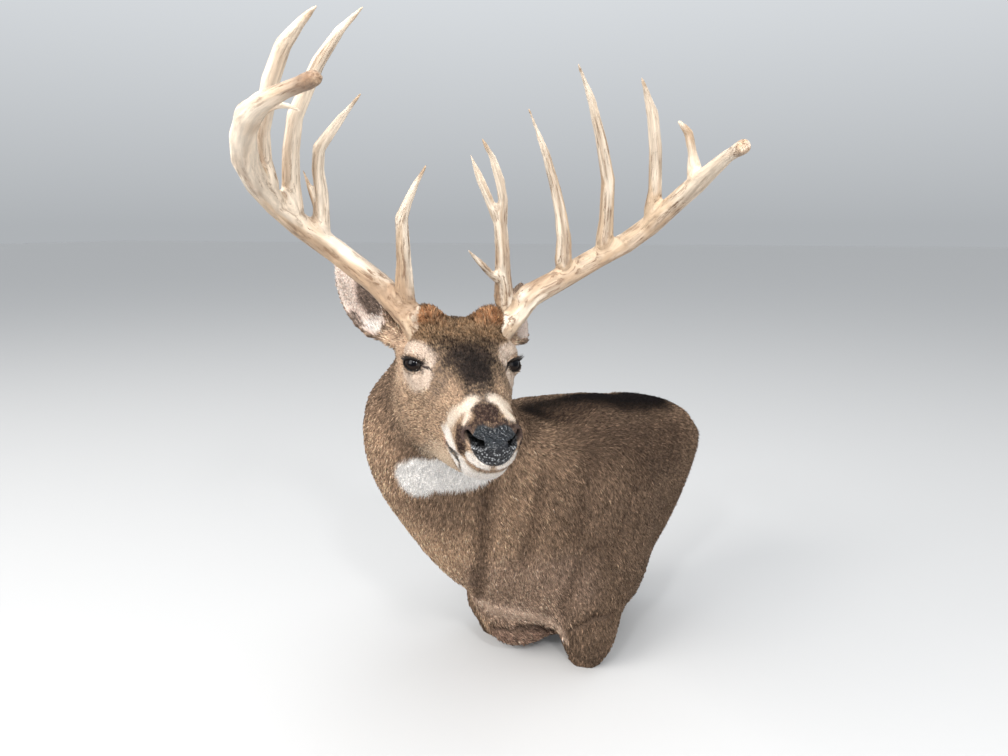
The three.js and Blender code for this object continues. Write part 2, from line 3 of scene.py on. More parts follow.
import math
from contextlib import contextmanager

import bmesh
import bpy
import numpy as np
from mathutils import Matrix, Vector


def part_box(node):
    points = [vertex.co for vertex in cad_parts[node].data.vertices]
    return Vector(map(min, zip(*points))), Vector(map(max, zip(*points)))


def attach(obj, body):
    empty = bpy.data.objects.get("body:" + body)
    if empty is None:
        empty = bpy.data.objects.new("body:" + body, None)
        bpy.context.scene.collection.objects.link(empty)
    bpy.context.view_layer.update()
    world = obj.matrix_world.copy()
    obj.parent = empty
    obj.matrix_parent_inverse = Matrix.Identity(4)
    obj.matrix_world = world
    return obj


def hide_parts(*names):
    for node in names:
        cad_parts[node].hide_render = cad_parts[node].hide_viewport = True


MM = 0.001
SEED = 4821
UV_NAME = "OFBake"
MARK = "Mark"
SHINE = "Shine"
GRAIN = "Grain"

FLESH = ("trunk", "neck", "head", "lower_jaw", "nose", "foreleg_right", "foreleg_left")
SIDES = {"right": -1, "left": 1}
FLATS = -0.265  # height of the leg stubs' flats
BODY_ORIGIN = np.array([0.032, 0.0, FLATS])
BODY_YAW = math.radians(32)
HEAD_ORIGIN = np.array([-0.138, -0.664, 0.380])  # the point between the eyes
HEAD_YAW = math.radians(30)
HEAD_PITCH = math.radians(14)
HEAD_ROLL = math.radians(-3)


# ---------------- numbers and frames
def unit(vectors):
    """The vectors at length 1, one a row."""
    vectors = np.asarray(vectors, float)
    return vectors / np.maximum(np.linalg.norm(vectors, axis=-1, keepdims=True), 1e-12)


def turned(vector, axis, angle):
    """The vector turned about a unit axis."""
    along = axis * (axis @ vector) * (1 - math.cos(angle))
    return vector * math.cos(angle) + np.cross(axis, vector) * math.sin(angle) + along


def smooth(values, low, high):
    """0 at low, 1 at high and a soft step between them."""
    t = np.clip((values - low) / (high - low), 0, 1)
    return t * t * (3 - 2 * t)


def bell(values, width):
    """1 at 0, falling to nothing over about twice the width."""
    return np.exp(-((values / width) ** 2))


FORWARD = np.array(
    [
        math.sin(HEAD_YAW) * math.cos(HEAD_PITCH),
        -math.cos(HEAD_YAW) * math.cos(HEAD_PITCH),
        -math.sin(HEAD_PITCH),
    ]
)
LEFT = turned(np.array([math.cos(HEAD_YAW), math.sin(HEAD_YAW), 0.0]), FORWARD, HEAD_ROLL)
HEAD_AXES = np.array([FORWARD, LEFT, np.cross(FORWARD, LEFT)])
BODY_AXES = np.array(
    [
        [-math.sin(BODY_YAW), -math.cos(BODY_YAW), 0],
        [math.cos(BODY_YAW), -math.sin(BODY_YAW), 0],
        [0, 0, 1],
    ]
)


def head(along, left, up):
    """A place on the head in metres, from millimetres ahead of the eyes, to the left and up."""
    return HEAD_ORIGIN + np.array([along, left, up]) * MM @ HEAD_AXES


def in_head(points):
    """Points as millimetres ahead of the eyes, to the left and up."""
    return (points - HEAD_ORIGIN) @ HEAD_AXES.T / MM


def in_body(points):
    """Points as millimetres out from the wall along the spine, to the left and above the flats."""
    return (points - BODY_ORIGIN) @ BODY_AXES.T / MM


class Noise:
    """Smooth seeded noise in space, from 0 to 1."""

    SIZE = 48

    def __init__(self, seed):
        self.table = np.random.default_rng(seed).random((self.SIZE,) * 3)

    def __call__(self, points, grain):
        q = np.asarray(points) / grain + 500.3
        cell = np.floor(q).astype(int)
        t = q - cell
        t = t * t * (3 - 2 * t)
        total = np.zeros(len(q))
        for corner in np.ndindex(2, 2, 2):
            at = (cell + corner) % self.SIZE
            weight = np.prod(np.where(corner, t, 1 - t), axis=1)
            total += weight * self.table[at[:, 0], at[:, 1], at[:, 2]]
        return total

    def layered(self, points, grain, layers=3):
        """Several sizes of noise added up."""
        total = sum(self(points, grain / 2**k) / 2**k for k in range(layers))
        return total / sum(0.5**k for k in range(layers))


noise = Noise(SEED)


def line_distance(points, line):
    """How far each point is from a line through some places, and the share of the line passed."""
    line = np.atleast_2d(np.asarray(line, float))
    if len(line) == 1:
        return distance(points, line[0]), np.zeros(len(points))
    best = np.full(len(points), np.inf)
    share = np.zeros(len(points))
    lengths = np.linalg.norm(np.diff(line, axis=0), axis=1)
    before = np.concatenate([[0], np.cumsum(lengths)])
    for start, end, length, passed in zip(line, line[1:], lengths, before):
        way = (end - start) / length
        t = np.clip((points - start) @ way, 0, length)
        far = np.linalg.norm(points - start - t[:, None] * way, axis=1)
        nearer = far < best
        best = np.where(nearer, far, best)
        share = np.where(nearer, (passed + t) / before[-1], share)
    return best, share


def distance(points, place):
    return np.linalg.norm(points - place, axis=1)


def boxed(points, line, room):
    """Whether each point lies in the line's box with some room round it."""
    return np.all((points > line.min(0) - room) & (points < line.max(0) + room), axis=1)


def near(points, line, core, edge):
    """A mask: 1 within core of the line, 0 beyond edge."""
    line = np.atleast_2d(np.asarray(line, float))
    inside = boxed(points, line, edge)
    mask = np.zeros(len(points))
    if inside.any():
        mask[inside] = 1 - smooth(line_distance(points[inside], line)[0], core, edge)
    return mask


def mirrored(line, side):
    """A line of the left side of the head or body, on the side given."""
    return np.atleast_2d(np.asarray(line, float)) * [1, side, 1]


# ---------------- meshes as arrays
def read(items, name, width, kind=np.float32):
    """One property of all vertices, edges or faces as an array."""
    values = np.empty(len(items) * width, kind)
    items.foreach_get(name, values)
    return values.reshape(-1, width) if width > 1 else values


def points_of(mesh):
    return read(mesh.vertices, "co", 3).astype(float)


def set_points(mesh, points):
    mesh.vertices.foreach_set("co", np.asarray(points, np.float32).ravel())
    mesh.update()


def normals_of(mesh):
    return read(mesh.vertices, "normal", 3).astype(float)


def edges_of(mesh):
    return read(mesh.edges, "vertices", 2, np.int32)


def neighbour_mean(values, edges):
    """The mean of each vertex's neighbours."""
    counts = np.maximum(np.bincount(edges.ravel(), minlength=len(values)), 1)
    total = np.empty_like(values)
    for k in range(values.shape[1]):
        column = values[:, k]
        total[:, k] = np.bincount(edges[:, 0], column[edges[:, 1]], len(values))
        total[:, k] += np.bincount(edges[:, 1], column[edges[:, 0]], len(values))
    return total / counts[:, None]


SMOOTHING = 0.6  # how far a point goes towards its neighbours' mean in one round


def softened(points, edges, rounds, held=False):
    """The points after each has had its own number of rounds of smoothing."""
    rounds = np.broadcast_to(rounds, len(points))
    for k in range(int(math.ceil(rounds.max()))):
        share = np.clip(rounds - k, 0, 1)[:, None] * SMOOTHING
        moved = points + share * (neighbour_mean(points, edges) - points)
        points = np.where(held, points, moved)
    return points


def new_object(name, mesh, material=None):
    if material:
        mesh.materials.append(material)
    made = bpy.data.objects.new(name, mesh)
    bpy.context.scene.collection.objects.link(made)
    return made


def mesh_from(name, points, triangles):
    """A mesh from arrays of points and triangles."""
    mesh = bpy.data.meshes.new(name)
    mesh.vertices.add(len(points))
    mesh.vertices.foreach_set("co", np.asarray(points, np.float32).ravel())
    mesh.loops.add(3 * len(triangles))
    mesh.loops.foreach_set("vertex_index", np.asarray(triangles, np.int32).ravel())
    mesh.polygons.add(len(triangles))
    mesh.polygons.foreach_set("loop_start", np.arange(len(triangles), dtype=np.int32) * 3)
    mesh.update(calc_edges=True)
    return mesh


def colour_points(mesh, colours):
    """Gives each vertex its colour, an array of three columns."""
    layer = mesh.color_attributes.new(MARK, "FLOAT_COLOR", "POINT")
    filled = np.column_stack([colours, np.ones(len(colours))]).astype(np.float32)
    layer.data.foreach_set("color", filled.ravel())


def number_points(mesh, name, values):
    layer = mesh.attributes.new(name, "FLOAT", "POINT")
    layer.data.foreach_set("value", np.asarray(values, np.float32))


def smooth_faces(mesh):
    mesh.polygons.foreach_set("use_smooth", np.ones(len(mesh.polygons), bool))
    mesh.update()


@contextmanager
def edited(mesh, *sources):
    """A bmesh of the sources, or else of the mesh itself, written to the mesh in the end."""
    bm = bmesh.new()
    for source in sources or (mesh,):
        bm.from_mesh(source)
    yield bm
    bm.to_mesh(mesh)
    bm.free()


def grown(mesh, amount):
    """A copy of a closed mesh with its doubled vertices joined, each moved out by an amount."""
    made = bpy.data.meshes.new("grown")
    with edited(made, mesh) as bm:
        bmesh.ops.remove_doubles(bm, verts=bm.verts, dist=1e-5)
        bm.normal_update()
        for vertex in bm.verts:
            vertex.co += vertex.normal * amount
    return made


def joined(meshes):
    """One mesh of several."""
    made = bpy.data.meshes.new("joined")
    with edited(made, *meshes):
        pass
    return made


def modified(mesh, kind, chosen=None, **settings):
    """A copy of the mesh after a modifier, kept to the chosen vertices if there are any."""
    scratch = new_object("scratch", mesh)
    modifier = scratch.modifiers.new("change", kind)
    if chosen is not None:
        group = scratch.vertex_groups.new(name="chosen")
        group.add(np.flatnonzero(chosen).tolist(), 1.0, "REPLACE")
        modifier.vertex_group = group.name
    for key, value in settings.items():
        setattr(modifier, key, value)
    depsgraph = bpy.context.evaluated_depsgraph_get()
    made = bpy.data.meshes.new_from_object(scratch.evaluated_get(depsgraph))
    bpy.data.objects.remove(scratch)
    return made


def remeshed(mesh, size):
    """One even surface round everything in the mesh."""
    return modified(mesh, "REMESH", mode="VOXEL", voxel_size=size, use_smooth_shade=True)


def ball(centre, radius, rings):
    """A closed sphere as a mesh."""
    made = bpy.data.meshes.new("ball")
    with edited(made) as bm:
        bmesh.ops.create_uvsphere(bm, u_segments=2 * rings, v_segments=rings, radius=radius)
        bmesh.ops.translate(bm, verts=bm.verts, vec=Vector(centre))
    return made


def tube(line, radii, sides=8):
    """A closed round tube along a line."""
    line = np.asarray(line)
    ways = unit(np.gradient(line, axis=0))
    side = unit(np.cross(ways, [0.3, 0.2, 0.93]))
    top = np.cross(ways, side)
    turn = np.linspace(0, 2 * math.pi, sides, endpoint=False)[None, :, None]
    round_it = np.cos(turn) * side[:, None] + np.sin(turn) * top[:, None]
    rings = line[:, None] + np.asarray(radii)[:, None, None] * round_it
    made = bpy.data.meshes.new("tube")
    with edited(made) as bm:
        rows = [[bm.verts.new(p) for p in ring] for ring in rings]
        for lower, upper in zip(rows, rows[1:]):
            for k in range(sides):
                j = (k + 1) % sides
                bm.faces.new((lower[k], lower[j], upper[j], upper[k]))
        bm.faces.new(rows[0][::-1])
        bm.faces.new(rows[-1])
        bmesh.ops.recalc_face_normals(bm, faces=bm.faces)
    return made


# ---------------- ears
EAR_LENGTH = 164
EARS = {
    "right": {"root": (-98, 74, 6), "axis": (-0.69, 0.53, 0.5), "open": (0.5, 0.75, 0.2)},
    "left": {"root": (-98, 77, 7), "axis": (-0.9, 0.42, 0.12), "open": (0.35, 0.85, 0.2)},
}
# Share of the length, half width across the chord, half angle of the wall's arc, thickness.
EAR_SECTIONS = np.array(
    [
        (-0.06, 17, 150, 14),
        (0.06, 21, 140, 9),
        (0.18, 29, 112, 7),
        (0.34, 36, 92, 6),
        (0.52, 39, 80, 5.5),
        (0.7, 34, 72, 5),
        (0.85, 25, 62, 4.5),
        (0.95, 12, 50, 4),
        (1, 4, 40, 3),
    ]
)
EAR_RINGS = 44
EAR_STEPS = 22


class Ear:
    """The frame of one ear: its root, the way it points, its mouth and the way across."""

    def __init__(self, name):
        side = SIDES[name]
        shape = EARS[name]
        turn = np.array([1, side, 1])
        self.side = side
        self.root = head(*(np.array(shape["root"]) * turn))
        self.axis = unit((np.array(shape["axis"]) * turn) @ HEAD_AXES)
        mouth = (np.array(shape["open"]) * turn) @ HEAD_AXES
        self.mouth = unit(mouth - self.axis * (mouth @ self.axis))
        self.across = np.cross(self.mouth, self.axis)

    def section(self, share):
        """Radius, half angle in radians and thickness in millimetres at a share of the length."""
        spread = np.linspace(-0.045, 0.045, 7)
        table = EAR_SECTIONS
        half, degrees, thick = (
            np.mean([np.interp(share + s, table[:, 0], table[:, k]) for s in spread])
            for k in (1, 2, 3)
        )
        angle = math.radians(degrees)
        return half / math.sin(min(angle, math.pi / 2)), angle, thick

    def shell(self):
        """The closed wall of the ear as a mesh."""
        rings = []
        for share in np.linspace(-0.06, 1.0, EAR_RINGS):
            radius, angle, thick = self.section(share)
            middle = self.root + self.axis * share * EAR_LENGTH * MM
            turns = np.linspace(-angle, angle, EAR_STEPS)
            for wall, order in ((radius, turns), (radius - thick, turns[::-1])):
                out = (radius * 0.6 - wall * np.cos(order))[:, None] * self.mouth
                rings.append(middle + (out + (wall * np.sin(order))[:, None] * self.across) * MM)
        count = 2 * EAR_STEPS
        points = np.concatenate(rings)
        faces = []
        for ring in range(EAR_RINGS - 1):
            for k in range(count):
                a = ring * count + k
                b = ring * count + (k + 1) % count
                faces.append((a, b, b + count, a + count))
        for first in (0, (EAR_RINGS - 1) * count):
            for k in range(EAR_STEPS - 1):
                quad = [first + k, first + k + 1, first + count - k - 2, first + count - k - 1]
                faces.append(quad if first else quad[::-1])
        mesh = bpy.data.meshes.new("shell")
        mesh.from_pydata(points.tolist(), [], faces)
        with edited(mesh) as bm:
            bmesh.ops.recalc_face_normals(bm, faces=bm.faces)
        return mesh

    def places(self, points):
        """Share of the length, then millimetres towards the mouth and across, of each point."""
        away = (points - self.root) / MM
        return away @ self.axis / EAR_LENGTH, away @ self.mouth, away @ self.across

    def mask(self, points):
        """1 on the ear, 0 on the head, with a soft step at its root."""
        share, out, across = self.places(points)
        wide = np.hypot(out, across)
        return smooth(share * EAR_LENGTH, 4, 22) * (1 - smooth(wide, 46, 54))

    def inside(self, points, normals):
        """1 on the hollow's own wall, 0 on the ear's back."""
        share, out, across = self.places(points)
        radius = np.interp(share, EAR_SECTIONS[:, 0], EAR_SECTIONS[:, 1])
        hub = radius * 0.6
        inward = unit(np.column_stack([hub - out, -across]))
        facing = inward[:, 0] * (normals @ self.mouth) + inward[:, 1] * (normals @ self.across)
        beyond = np.hypot(hub - out, across) - radius
        return smooth(facing, -0.1, 0.35) * (1 - smooth(beyond, 9, 15))


ears = {name: Ear(name) for name in SIDES}


def ear_mask(points):
    return np.maximum(ears["right"].mask(points), ears["left"].mask(points))


# ---------------- eyes
EYE_TURN = math.radians(56)  # how far an eye looks ahead of straight sideways
EYE_LIFT = math.radians(32)
EYE_TILT = math.radians(37)  # the opening's turn about the way the eye looks
LID_WIDE = math.radians(61)
LID_HIGH = math.radians(15)
LID_LOW = math.radians(36)
LID_THICK = 1.6
TEAR_GROOVE = [(9, 59, 5), (13, 57, 8), (20, 54, 10), (28, 51, 12), (38, 48, 11)]


class Eye:
    """One eye: its ball, the way it looks and the almond between its lids."""

    def __init__(self, name):
        low, high = (np.array(corner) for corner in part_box("eye_" + name))
        side = SIDES[name]
        self.name = name
        self.side = side
        self.centre = (low + high) / 2
        self.radius = float(np.mean(high - low)) / 2
        up = HEAD_AXES[2]
        level = math.cos(EYE_TURN) * LEFT * side + math.sin(EYE_TURN) * FORWARD
        self.look = unit(math.cos(EYE_LIFT) * level + math.sin(EYE_LIFT) * up)
        front = unit(FORWARD - self.look * (FORWARD @ self.look))
        top = unit(up - self.look * (up @ self.look) - front * (up @ front))
        self.front = math.cos(EYE_TILT) * front + math.sin(EYE_TILT) * top
        self.top = math.cos(EYE_TILT) * top - math.sin(EYE_TILT) * front

    def lid(self, x, upper):
        """The margin's height as an angle, at x from -1 at the back corner to 1 at the front."""
        arch = np.clip(1 - np.abs(x) ** 2.2, 0, 1)
        lean = 1 + 0.18 * (x if upper else -x)
        return LID_HIGH * arch * lean if upper else -LID_LOW * arch * (2 - lean) * 0.95

    def place(self, across, high, radius):
        """A point in metres from two angles and a distance from the ball's middle in millimetres."""
        across = np.asarray(across)[..., None]
        high = np.asarray(high)[..., None]
        way = (
            np.cos(high) * (np.cos(across) * self.look + np.sin(across) * self.front)
            + np.sin(high) * self.top
        )
        return self.centre + way * np.asarray(radius)[..., None] * MM

    def angles(self, points):
        """The two angles and the distance in millimetres of each point."""
        away = (points - self.centre) / MM
        far = np.linalg.norm(away, axis=1)
        across = np.arctan2(away @ self.front, away @ self.look)
        high = np.arcsin(np.clip(away @ self.top / np.maximum(far, 1e-6), -1, 1))
        return across, high, far

    def outside(self, across, high):
        """Angle from the almond's margin, negative within the opening."""
        x = across / LID_WIDE
        upper = self.lid(np.clip(x, -1, 1), True)
        lower = self.lid(np.clip(x, -1, 1), False)
        vertical = np.maximum(high - upper, lower - high)
        ends = (np.abs(x) - 1) * LID_WIDE
        return np.where(ends > 0, np.hypot(ends, np.maximum(vertical, 0)), vertical)

    def gap(self, points):
        """Millimetres outside the almond's margin, the angle across and the distance."""
        across, high, far = self.angles(points)
        return self.outside(across, high) * self.radius / MM, across, far


# ---------------- the skin's shape
SKIN_VOXEL = 0.0024
BODY_SHARE = 0.37  # faces kept once the body's, hidden under its coat, are merged
THIN_BEHIND = -115  # millimetres ahead of the eyes where that merging starts
NODE_GROWTH = 0.0005
EYE_GROWTH = 0.0006
EAR_GROWTH = 0.0004
WALL_ROOM = 0.0009
SHRINK_ROUNDS = 40  # the smoothing's shrinkage is put back after being evened out this much
HORN_SOCKET = (-61, 42, 42)
HORN_SOCKET_RADIUS = 0.019
# Rounds of smoothing.
BODY_ROUNDS = 150
LEG_ROUNDS = 40
FACE_ROUNDS = 26
EAR_ROUNDS = 5
EAR_ROOT_ROUNDS = 12
# How far under the coat's outline the skin lies, in millimetres.
BODY_DEPTH = 1.9
RIM_DEPTH = 1.5  # added along the chest's rim
FACE_NEARER = 1.1  # taken off on the face
EAR_DEPTH = 0.4


def flesh_base():
    """All flesh as one closed even surface, its parting cuts and sockets filled."""
    meshes = [grown(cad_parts[name].data, NODE_GROWTH) for name in FLESH]
    for name, side in SIDES.items():
        eye = eyes[name]
        meshes.append(ball(eye.centre, eye.radius + EYE_GROWTH, 24))
        along, left, up = HORN_SOCKET
        meshes.append(ball(head(along, side * left, up), HORN_SOCKET_RADIUS, 16))
        meshes.append(grown(ears[name].shell(), EAR_GROWTH))
    return remeshed(joined(meshes), SKIN_VOXEL)


def open_flats(mesh):
    """Takes away the faces on the wall's side and on the leg flats, to be closed again later."""
    points = points_of(mesh)
    back = points[:, 1].max() - WALL_ROOM
    low = points[:, 2].min() + WALL_ROOM
    with edited(mesh) as bm:
        flat = [
            f
            for f in bm.faces
            if all(v.co.y > back for v in f.verts) or all(v.co.z < low for v in f.verts)
        ]
        bmesh.ops.delete(bm, geom=flat, context="FACES")
    return back, low


def face_mask(h, back, low):
    """1 on the face and 0 behind and under it, with soft steps over the two ranges."""
    return smooth(h[:, 0], *back) * smooth(h[:, 2], *low)


def region_rounds(points):
    """How many rounds of smoothing each place gets."""
    facial = face_mask(in_head(points), (-95, -50), (-190, -120))
    rounds = BODY_ROUNDS * (1 - facial) + FACE_ROUNDS * facial
    ear = ear_mask(points)
    near_root = np.zeros(len(points))
    for one in ears.values():
        share, out, across = one.places(points)
        root = bell(share * EAR_LENGTH, 30) * bell(np.hypot(out, across), 40)
        near_root = np.maximum(near_root, root)
    rounds = rounds * (1 - ear) + EAR_ROUNDS * ear
    rounds = rounds * (1 - near_root) + EAR_ROOT_ROUNDS * near_root
    legs = smooth(-in_body(points)[:, 2], -110, -60)
    return rounds * (1 - legs) + LEG_ROUNDS * legs


def coat_depth(points):
    """How far under the coat's outline the skin lies, in millimetres."""
    facial = face_mask(in_head(points), (-80, -30), (-150, -100))
    rim = near(in_body(points), [(330, -60, 60), (330, 60, 60)], 60, 140)
    depth = BODY_DEPTH - FACE_NEARER * facial + RIM_DEPTH * rim
    return depth * (1 - ear_mask(points)) + EAR_DEPTH * ear_mask(points)


def subdivided(mesh, chosen):
    """Halves the edges whose two ends are chosen."""
    with edited(mesh) as bm:
        bm.verts.ensure_lookup_table()
        edges = [e for e in bm.edges if chosen[e.verts[0].index] and chosen[e.verts[1].index]]
        bmesh.ops.subdivide_edges(bm, edges=edges, cuts=1, use_grid_fill=True)


def close_holes(mesh):
    with edited(mesh) as bm:
        rim = [e for e in bm.edges if e.is_boundary]
        bmesh.ops.holes_fill(bm, edges=rim, sides=0)
        bmesh.ops.recalc_face_normals(bm, faces=bm.faces)


# Creases of the head: line, depth in millimetres, half width.
HEAD_FOLDS = (
    ([(-10, 62, 30), (8, 55, 31), (22, 46, 26)], 1.4, 3.0),
    ([(-30, 72, -22), (-10, 68, -30), (18, 60, -24), (34, 52, -12)], 0.8, 3.0),
    ([(40, 48, -2), (52, 44, -8), (60, 42, -16)], 2.0, 3.5),
    ([(60, 44, -34), (96, 38, -44), (118, 36, -40)], 1.2, 7.0),
    ([(-30, 55, -60), (-20, 56, -90), (-30, 50, -120)], 1.6, 7.0),
)
MOUTH = [
    (104, 36, -51), (119, 33, -52), (144, 32, -42), (171, 30, -31), (189, 24, -29), (196, 12, -33),
    (200, 0, -33),
]
NOSTRIL = [(185, 30, 3), (190, 26, 0), (195, 21, -2), (198, 16, -2)]
NOSTRIL_WAY = (-0.86, -0.42, 0.05)
PAD_WIDE = 27.5
PEBBLE = 2.9
PEBBLE_HEIGHT = 0.5
FACE_SHIFT = 5.0  # how far the markings' middle line lies to the right on the muzzle


def fold(points, normals, coords, lines, sides=(1,)):
    """Moves the points in by each crease's depth."""
    for line, depth, width in lines:
        for side in sides:
            path = mirrored(line, side)
            box = boxed(coords, path, 3 * width)
            if not box.any():
                continue
            far, share = line_distance(coords[box], path)
            ends = np.sin(np.clip(share, 0.02, 0.98) * math.pi) ** 0.5
            points[box] -= normals[box] * (depth * MM * bell(far, width) * ends)[:, None]
    return points


def model_eyes(points):
    """Draws the skin over each ball and opens its lids."""
    for eye in eyes.values():
        across, high, far = eye.angles(points)
        local = far < 34
        a, v, r = across[local], high[local], far[local]
        ball_radius = eye.radius / MM
        gap = eye.outside(a, v) * ball_radius
        lid = ball_radius + LID_THICK
        wanted = lid + 0.5 * bell(gap - 2.2, 1.6)
        wanted = wanted + (v > 0) * (1.0 * bell(gap - 2.5, 2.5) - 1.6 * bell(gap - 7.5, 2.0))
        blend = smooth(gap, 3.0, 11.0)
        over = wanted * (1 - blend) + np.maximum(r, lid - 1) * blend
        sunk = ball_radius - 2.5
        facing = np.abs(a) < math.radians(100)
        t = smooth(gap, -1.2, 0.1)
        new = np.where(facing, sunk * (1 - t) + over * t, r)
        points[local] = eye.place(a, v, new)
    return points


def nostril_mask(coords, side):
    """How far from a nostril's slit each point lies, seen along its hole."""
    way = unit(np.array(NOSTRIL_WAY) * [1, side, 1])
    path = mirrored(NOSTRIL, side)
    flat = coords - (coords @ way)[:, None] * way
    flat_path = path - (path @ way)[:, None] * way
    return line_distance(flat, flat_path)[0], way


def model_nose(points, coords, normals):
    """Sinks the nostrils and the mouth, and rounds the pad and the nostrils' wings."""
    for side in SIDES.values():
        far, way = nostril_mask(coords, side)
        deep = (1 - smooth(far, 2.0, 4.6)) * (coords[:, 0] > 168)
        rim = bell(far - 6.2, 2.0) * smooth(coords[:, 0], 170, 180)
        shift = way @ HEAD_AXES
        points += shift * (deep * 15 * MM)[:, None] + normals * (rim * 1.0 * MM)[:, None]
        line = mirrored(MOUTH, side)
        away, share = line_distance(coords, line)
        cut = bell(away, 1.6) * 3.0 * np.clip(share * 8, 0, 1)
        lips = bell(away - 4.0, 2.4) * 0.7
        points += normals * ((lips - cut) * MM)[:, None]
    cleft = near(coords, [(203, 0, -12), (204, 0, -32)], 0.6, 2.0)
    points -= normals * (cleft * 1.2 * MM)[:, None]
    return points


def pad_mask(coords):
    """1 on the bare nose pad."""
    side = np.abs(coords[:, 1])
    top = 12.5 - 0.05 * (side - 12) ** 2 * (side > 12) - 2.0 * bell(side, 7)
    round_off = np.hypot(side, np.clip(2 - coords[:, 2], 0, 60))
    height = smooth(top - coords[:, 2], -1.2, 1.2)
    return height * smooth(PAD_WIDE - round_off, -1.0, 1.0) * smooth(coords[:, 0], 176, 181)


def pebbles(coords, size):
    """The nearest seeded pebble: 1 at its middle, 0 between pebbles."""
    rng = np.random.default_rng(SEED + 5)
    jitter = rng.random((16, 16, 16, 3))
    q = coords / size
    cell = np.floor(q).astype(int)
    best = np.full(len(q), 9.0)
    for step in np.ndindex(3, 3, 3):
        at = cell + np.array(step) - 1
        spot = at + jitter[at[:, 0] % 16, at[:, 1] % 16, at[:, 2] % 16]
        best = np.minimum(best, np.linalg.norm(q - spot, axis=1))
    return np.clip(1 - best * 1.25, 0, 1)


def smoothed_skin():
    """The flesh as one soft surface that lies under the coat's outline, with its map."""
    mesh = flesh_base()
    back, low = open_flats(mesh)
    rough = points_of(mesh)
    edges = edges_of(mesh)
    held = np.zeros(rough.shape, bool)
    held[:, 1] = rough[:, 1] > back
    held[:, 2] = rough[:, 2] < low
    points = softened(rough, edges, region_rounds(rough), held)
    set_points(mesh, points)
    normals = normals_of(mesh)
    normals[held] = 0
    lost = np.sum((rough - points) * normals, axis=1, keepdims=True)
    for _ in range(SHRINK_ROUNDS):
        lost = neighbour_mean(lost, edges)
    points = points + normals * (lost - coat_depth(points)[:, None] * MM)
    set_points(mesh, points)
    close_holes(mesh)
    behind = in_head(points)[:, 0] < THIN_BEHIND
    mesh = modified(mesh, "DECIMATE", behind, ratio=BODY_SHARE)
    unwrap(mesh)
    return mesh


def refine(mesh):
    """Halves the edges of the face, and once more round the eyes, the nose and the mouth."""
    points = points_of(mesh)
    h = in_head(points)
    facial = (h[:, 0] > -48) & (h[:, 2] > -125) & (h[:, 2] < 75) & (ear_mask(points) < 0.3)
    subdivided(mesh, facial)
    points = points_of(mesh)
    h = in_head(points)
    fine = (h[:, 0] > 166) & (h[:, 2] > -36) & (h[:, 2] < 22)
    for eye in eyes.values():
        fine |= distance(points, eye.centre) < 0.026
    for side in SIDES.values():
        fine |= line_distance(h, mirrored(MOUTH, side))[0] < 5
    subdivided(mesh, fine)


def make_skin():
    """The whole skin as one mesh, without its colours."""
    mesh = smoothed_skin()
    refine(mesh)
    points = points_of(mesh)
    facial = face_mask(in_head(points), (-48, -30), (-125, -110))
    points = softened(points, edges_of(mesh), 4 * facial * (1 - ear_mask(points)))
    set_points(mesh, points)
    points = fold(points, normals_of(mesh), in_body(points), BODY_FOLDS)
    points = fold(points, normals_of(mesh), in_head(points), HEAD_FOLDS, SIDES.values())
    points = model_eyes(points)
    set_points(mesh, points)
    coords = in_head(points)
    points = model_nose(points, coords, normals_of(mesh))
    bumps = pebbles(coords, PEBBLE) * pad_mask(coords) * smooth(-coords[:, 2], 2, 9)
    points += normals_of(mesh) * (bumps * PEBBLE_HEIGHT * MM)[:, None]
    set_points(mesh, points)
    smooth_faces(mesh)
    return mesh


def unwrap(mesh):
    """Gives the mesh its own map, laid out by the way its faces point."""
    scratch = new_object("scratch", mesh)
    mesh.uv_layers.new(name=UV_NAME)
    bpy.context.view_layer.objects.active = scratch
    scratch.select_set(True)
    bpy.ops.object.mode_set(mode="EDIT")
    bpy.ops.mesh.select_all(action="SELECT")
    bpy.ops.uv.smart_project(angle_limit=math.radians(66), island_margin=0.004)
    bpy.ops.object.mode_set(mode="OBJECT")
    bpy.data.objects.remove(scratch)


# ---------------- markings
BODY = (0.146, 0.096, 0.064)
# Darker hair on the back and the neck's top, also used as painted shade in the body's creases.
BODY_DARK = (0.080, 0.050, 0.033)
DORSAL = (0.004, 0.002, 0.001)
NECK = (0.330, 0.218, 0.142)
NECK_FRONT = (0.440, 0.290, 0.190)
CHEST = (0.290, 0.200, 0.148)
RIM = (0.520, 0.375, 0.285)
BELLY = (0.300, 0.190, 0.140)
# Painted shadow for the hollow under the chest's rim.
HOLLOW_SHADE = (0.040, 0.024, 0.018)
WHITE = (0.860, 0.770, 0.690)
THROAT = (0.930, 0.890, 0.850)
CHEEK = (0.315, 0.215, 0.145)
EYE_WHITE = (0.520, 0.420, 0.345)
MUZZLE = (0.690, 0.580, 0.480)
TEMPLE = (0.500, 0.350, 0.245)
TEMPLE_DARK = (0.190, 0.135, 0.098)
FOREHEAD = (0.015, 0.010, 0.008)
SCALP = (0.128, 0.075, 0.039)
RUST = (0.240, 0.105, 0.045)
BRIDGE = (0.080, 0.056, 0.042)
WING = (0.036, 0.020, 0.016)
BLACK = (0.003, 0.003, 0.003)
TEAR = (0.022, 0.013, 0.011)
PAD = (0.006, 0.006, 0.008)
# Painted bluish sheen for the top of the nose pad.
PAD_SHEEN = (0.011, 0.014, 0.017)
# Painted highlights for the pebbles of the nose pad.
PEBBLE_HIGHLIGHT = (0.420, 0.430, 0.440)
JAW = (0.600, 0.460, 0.340)
LIP_PINK = (0.450, 0.250, 0.170)
EAR_BACK = (0.165, 0.115, 0.083)
EAR_PINK = (0.680, 0.540, 0.470)
# Dark hair on the ears' edges and tips, also used as painted shade deep in their hollows.
EAR_DARK = (0.075, 0.052, 0.040)

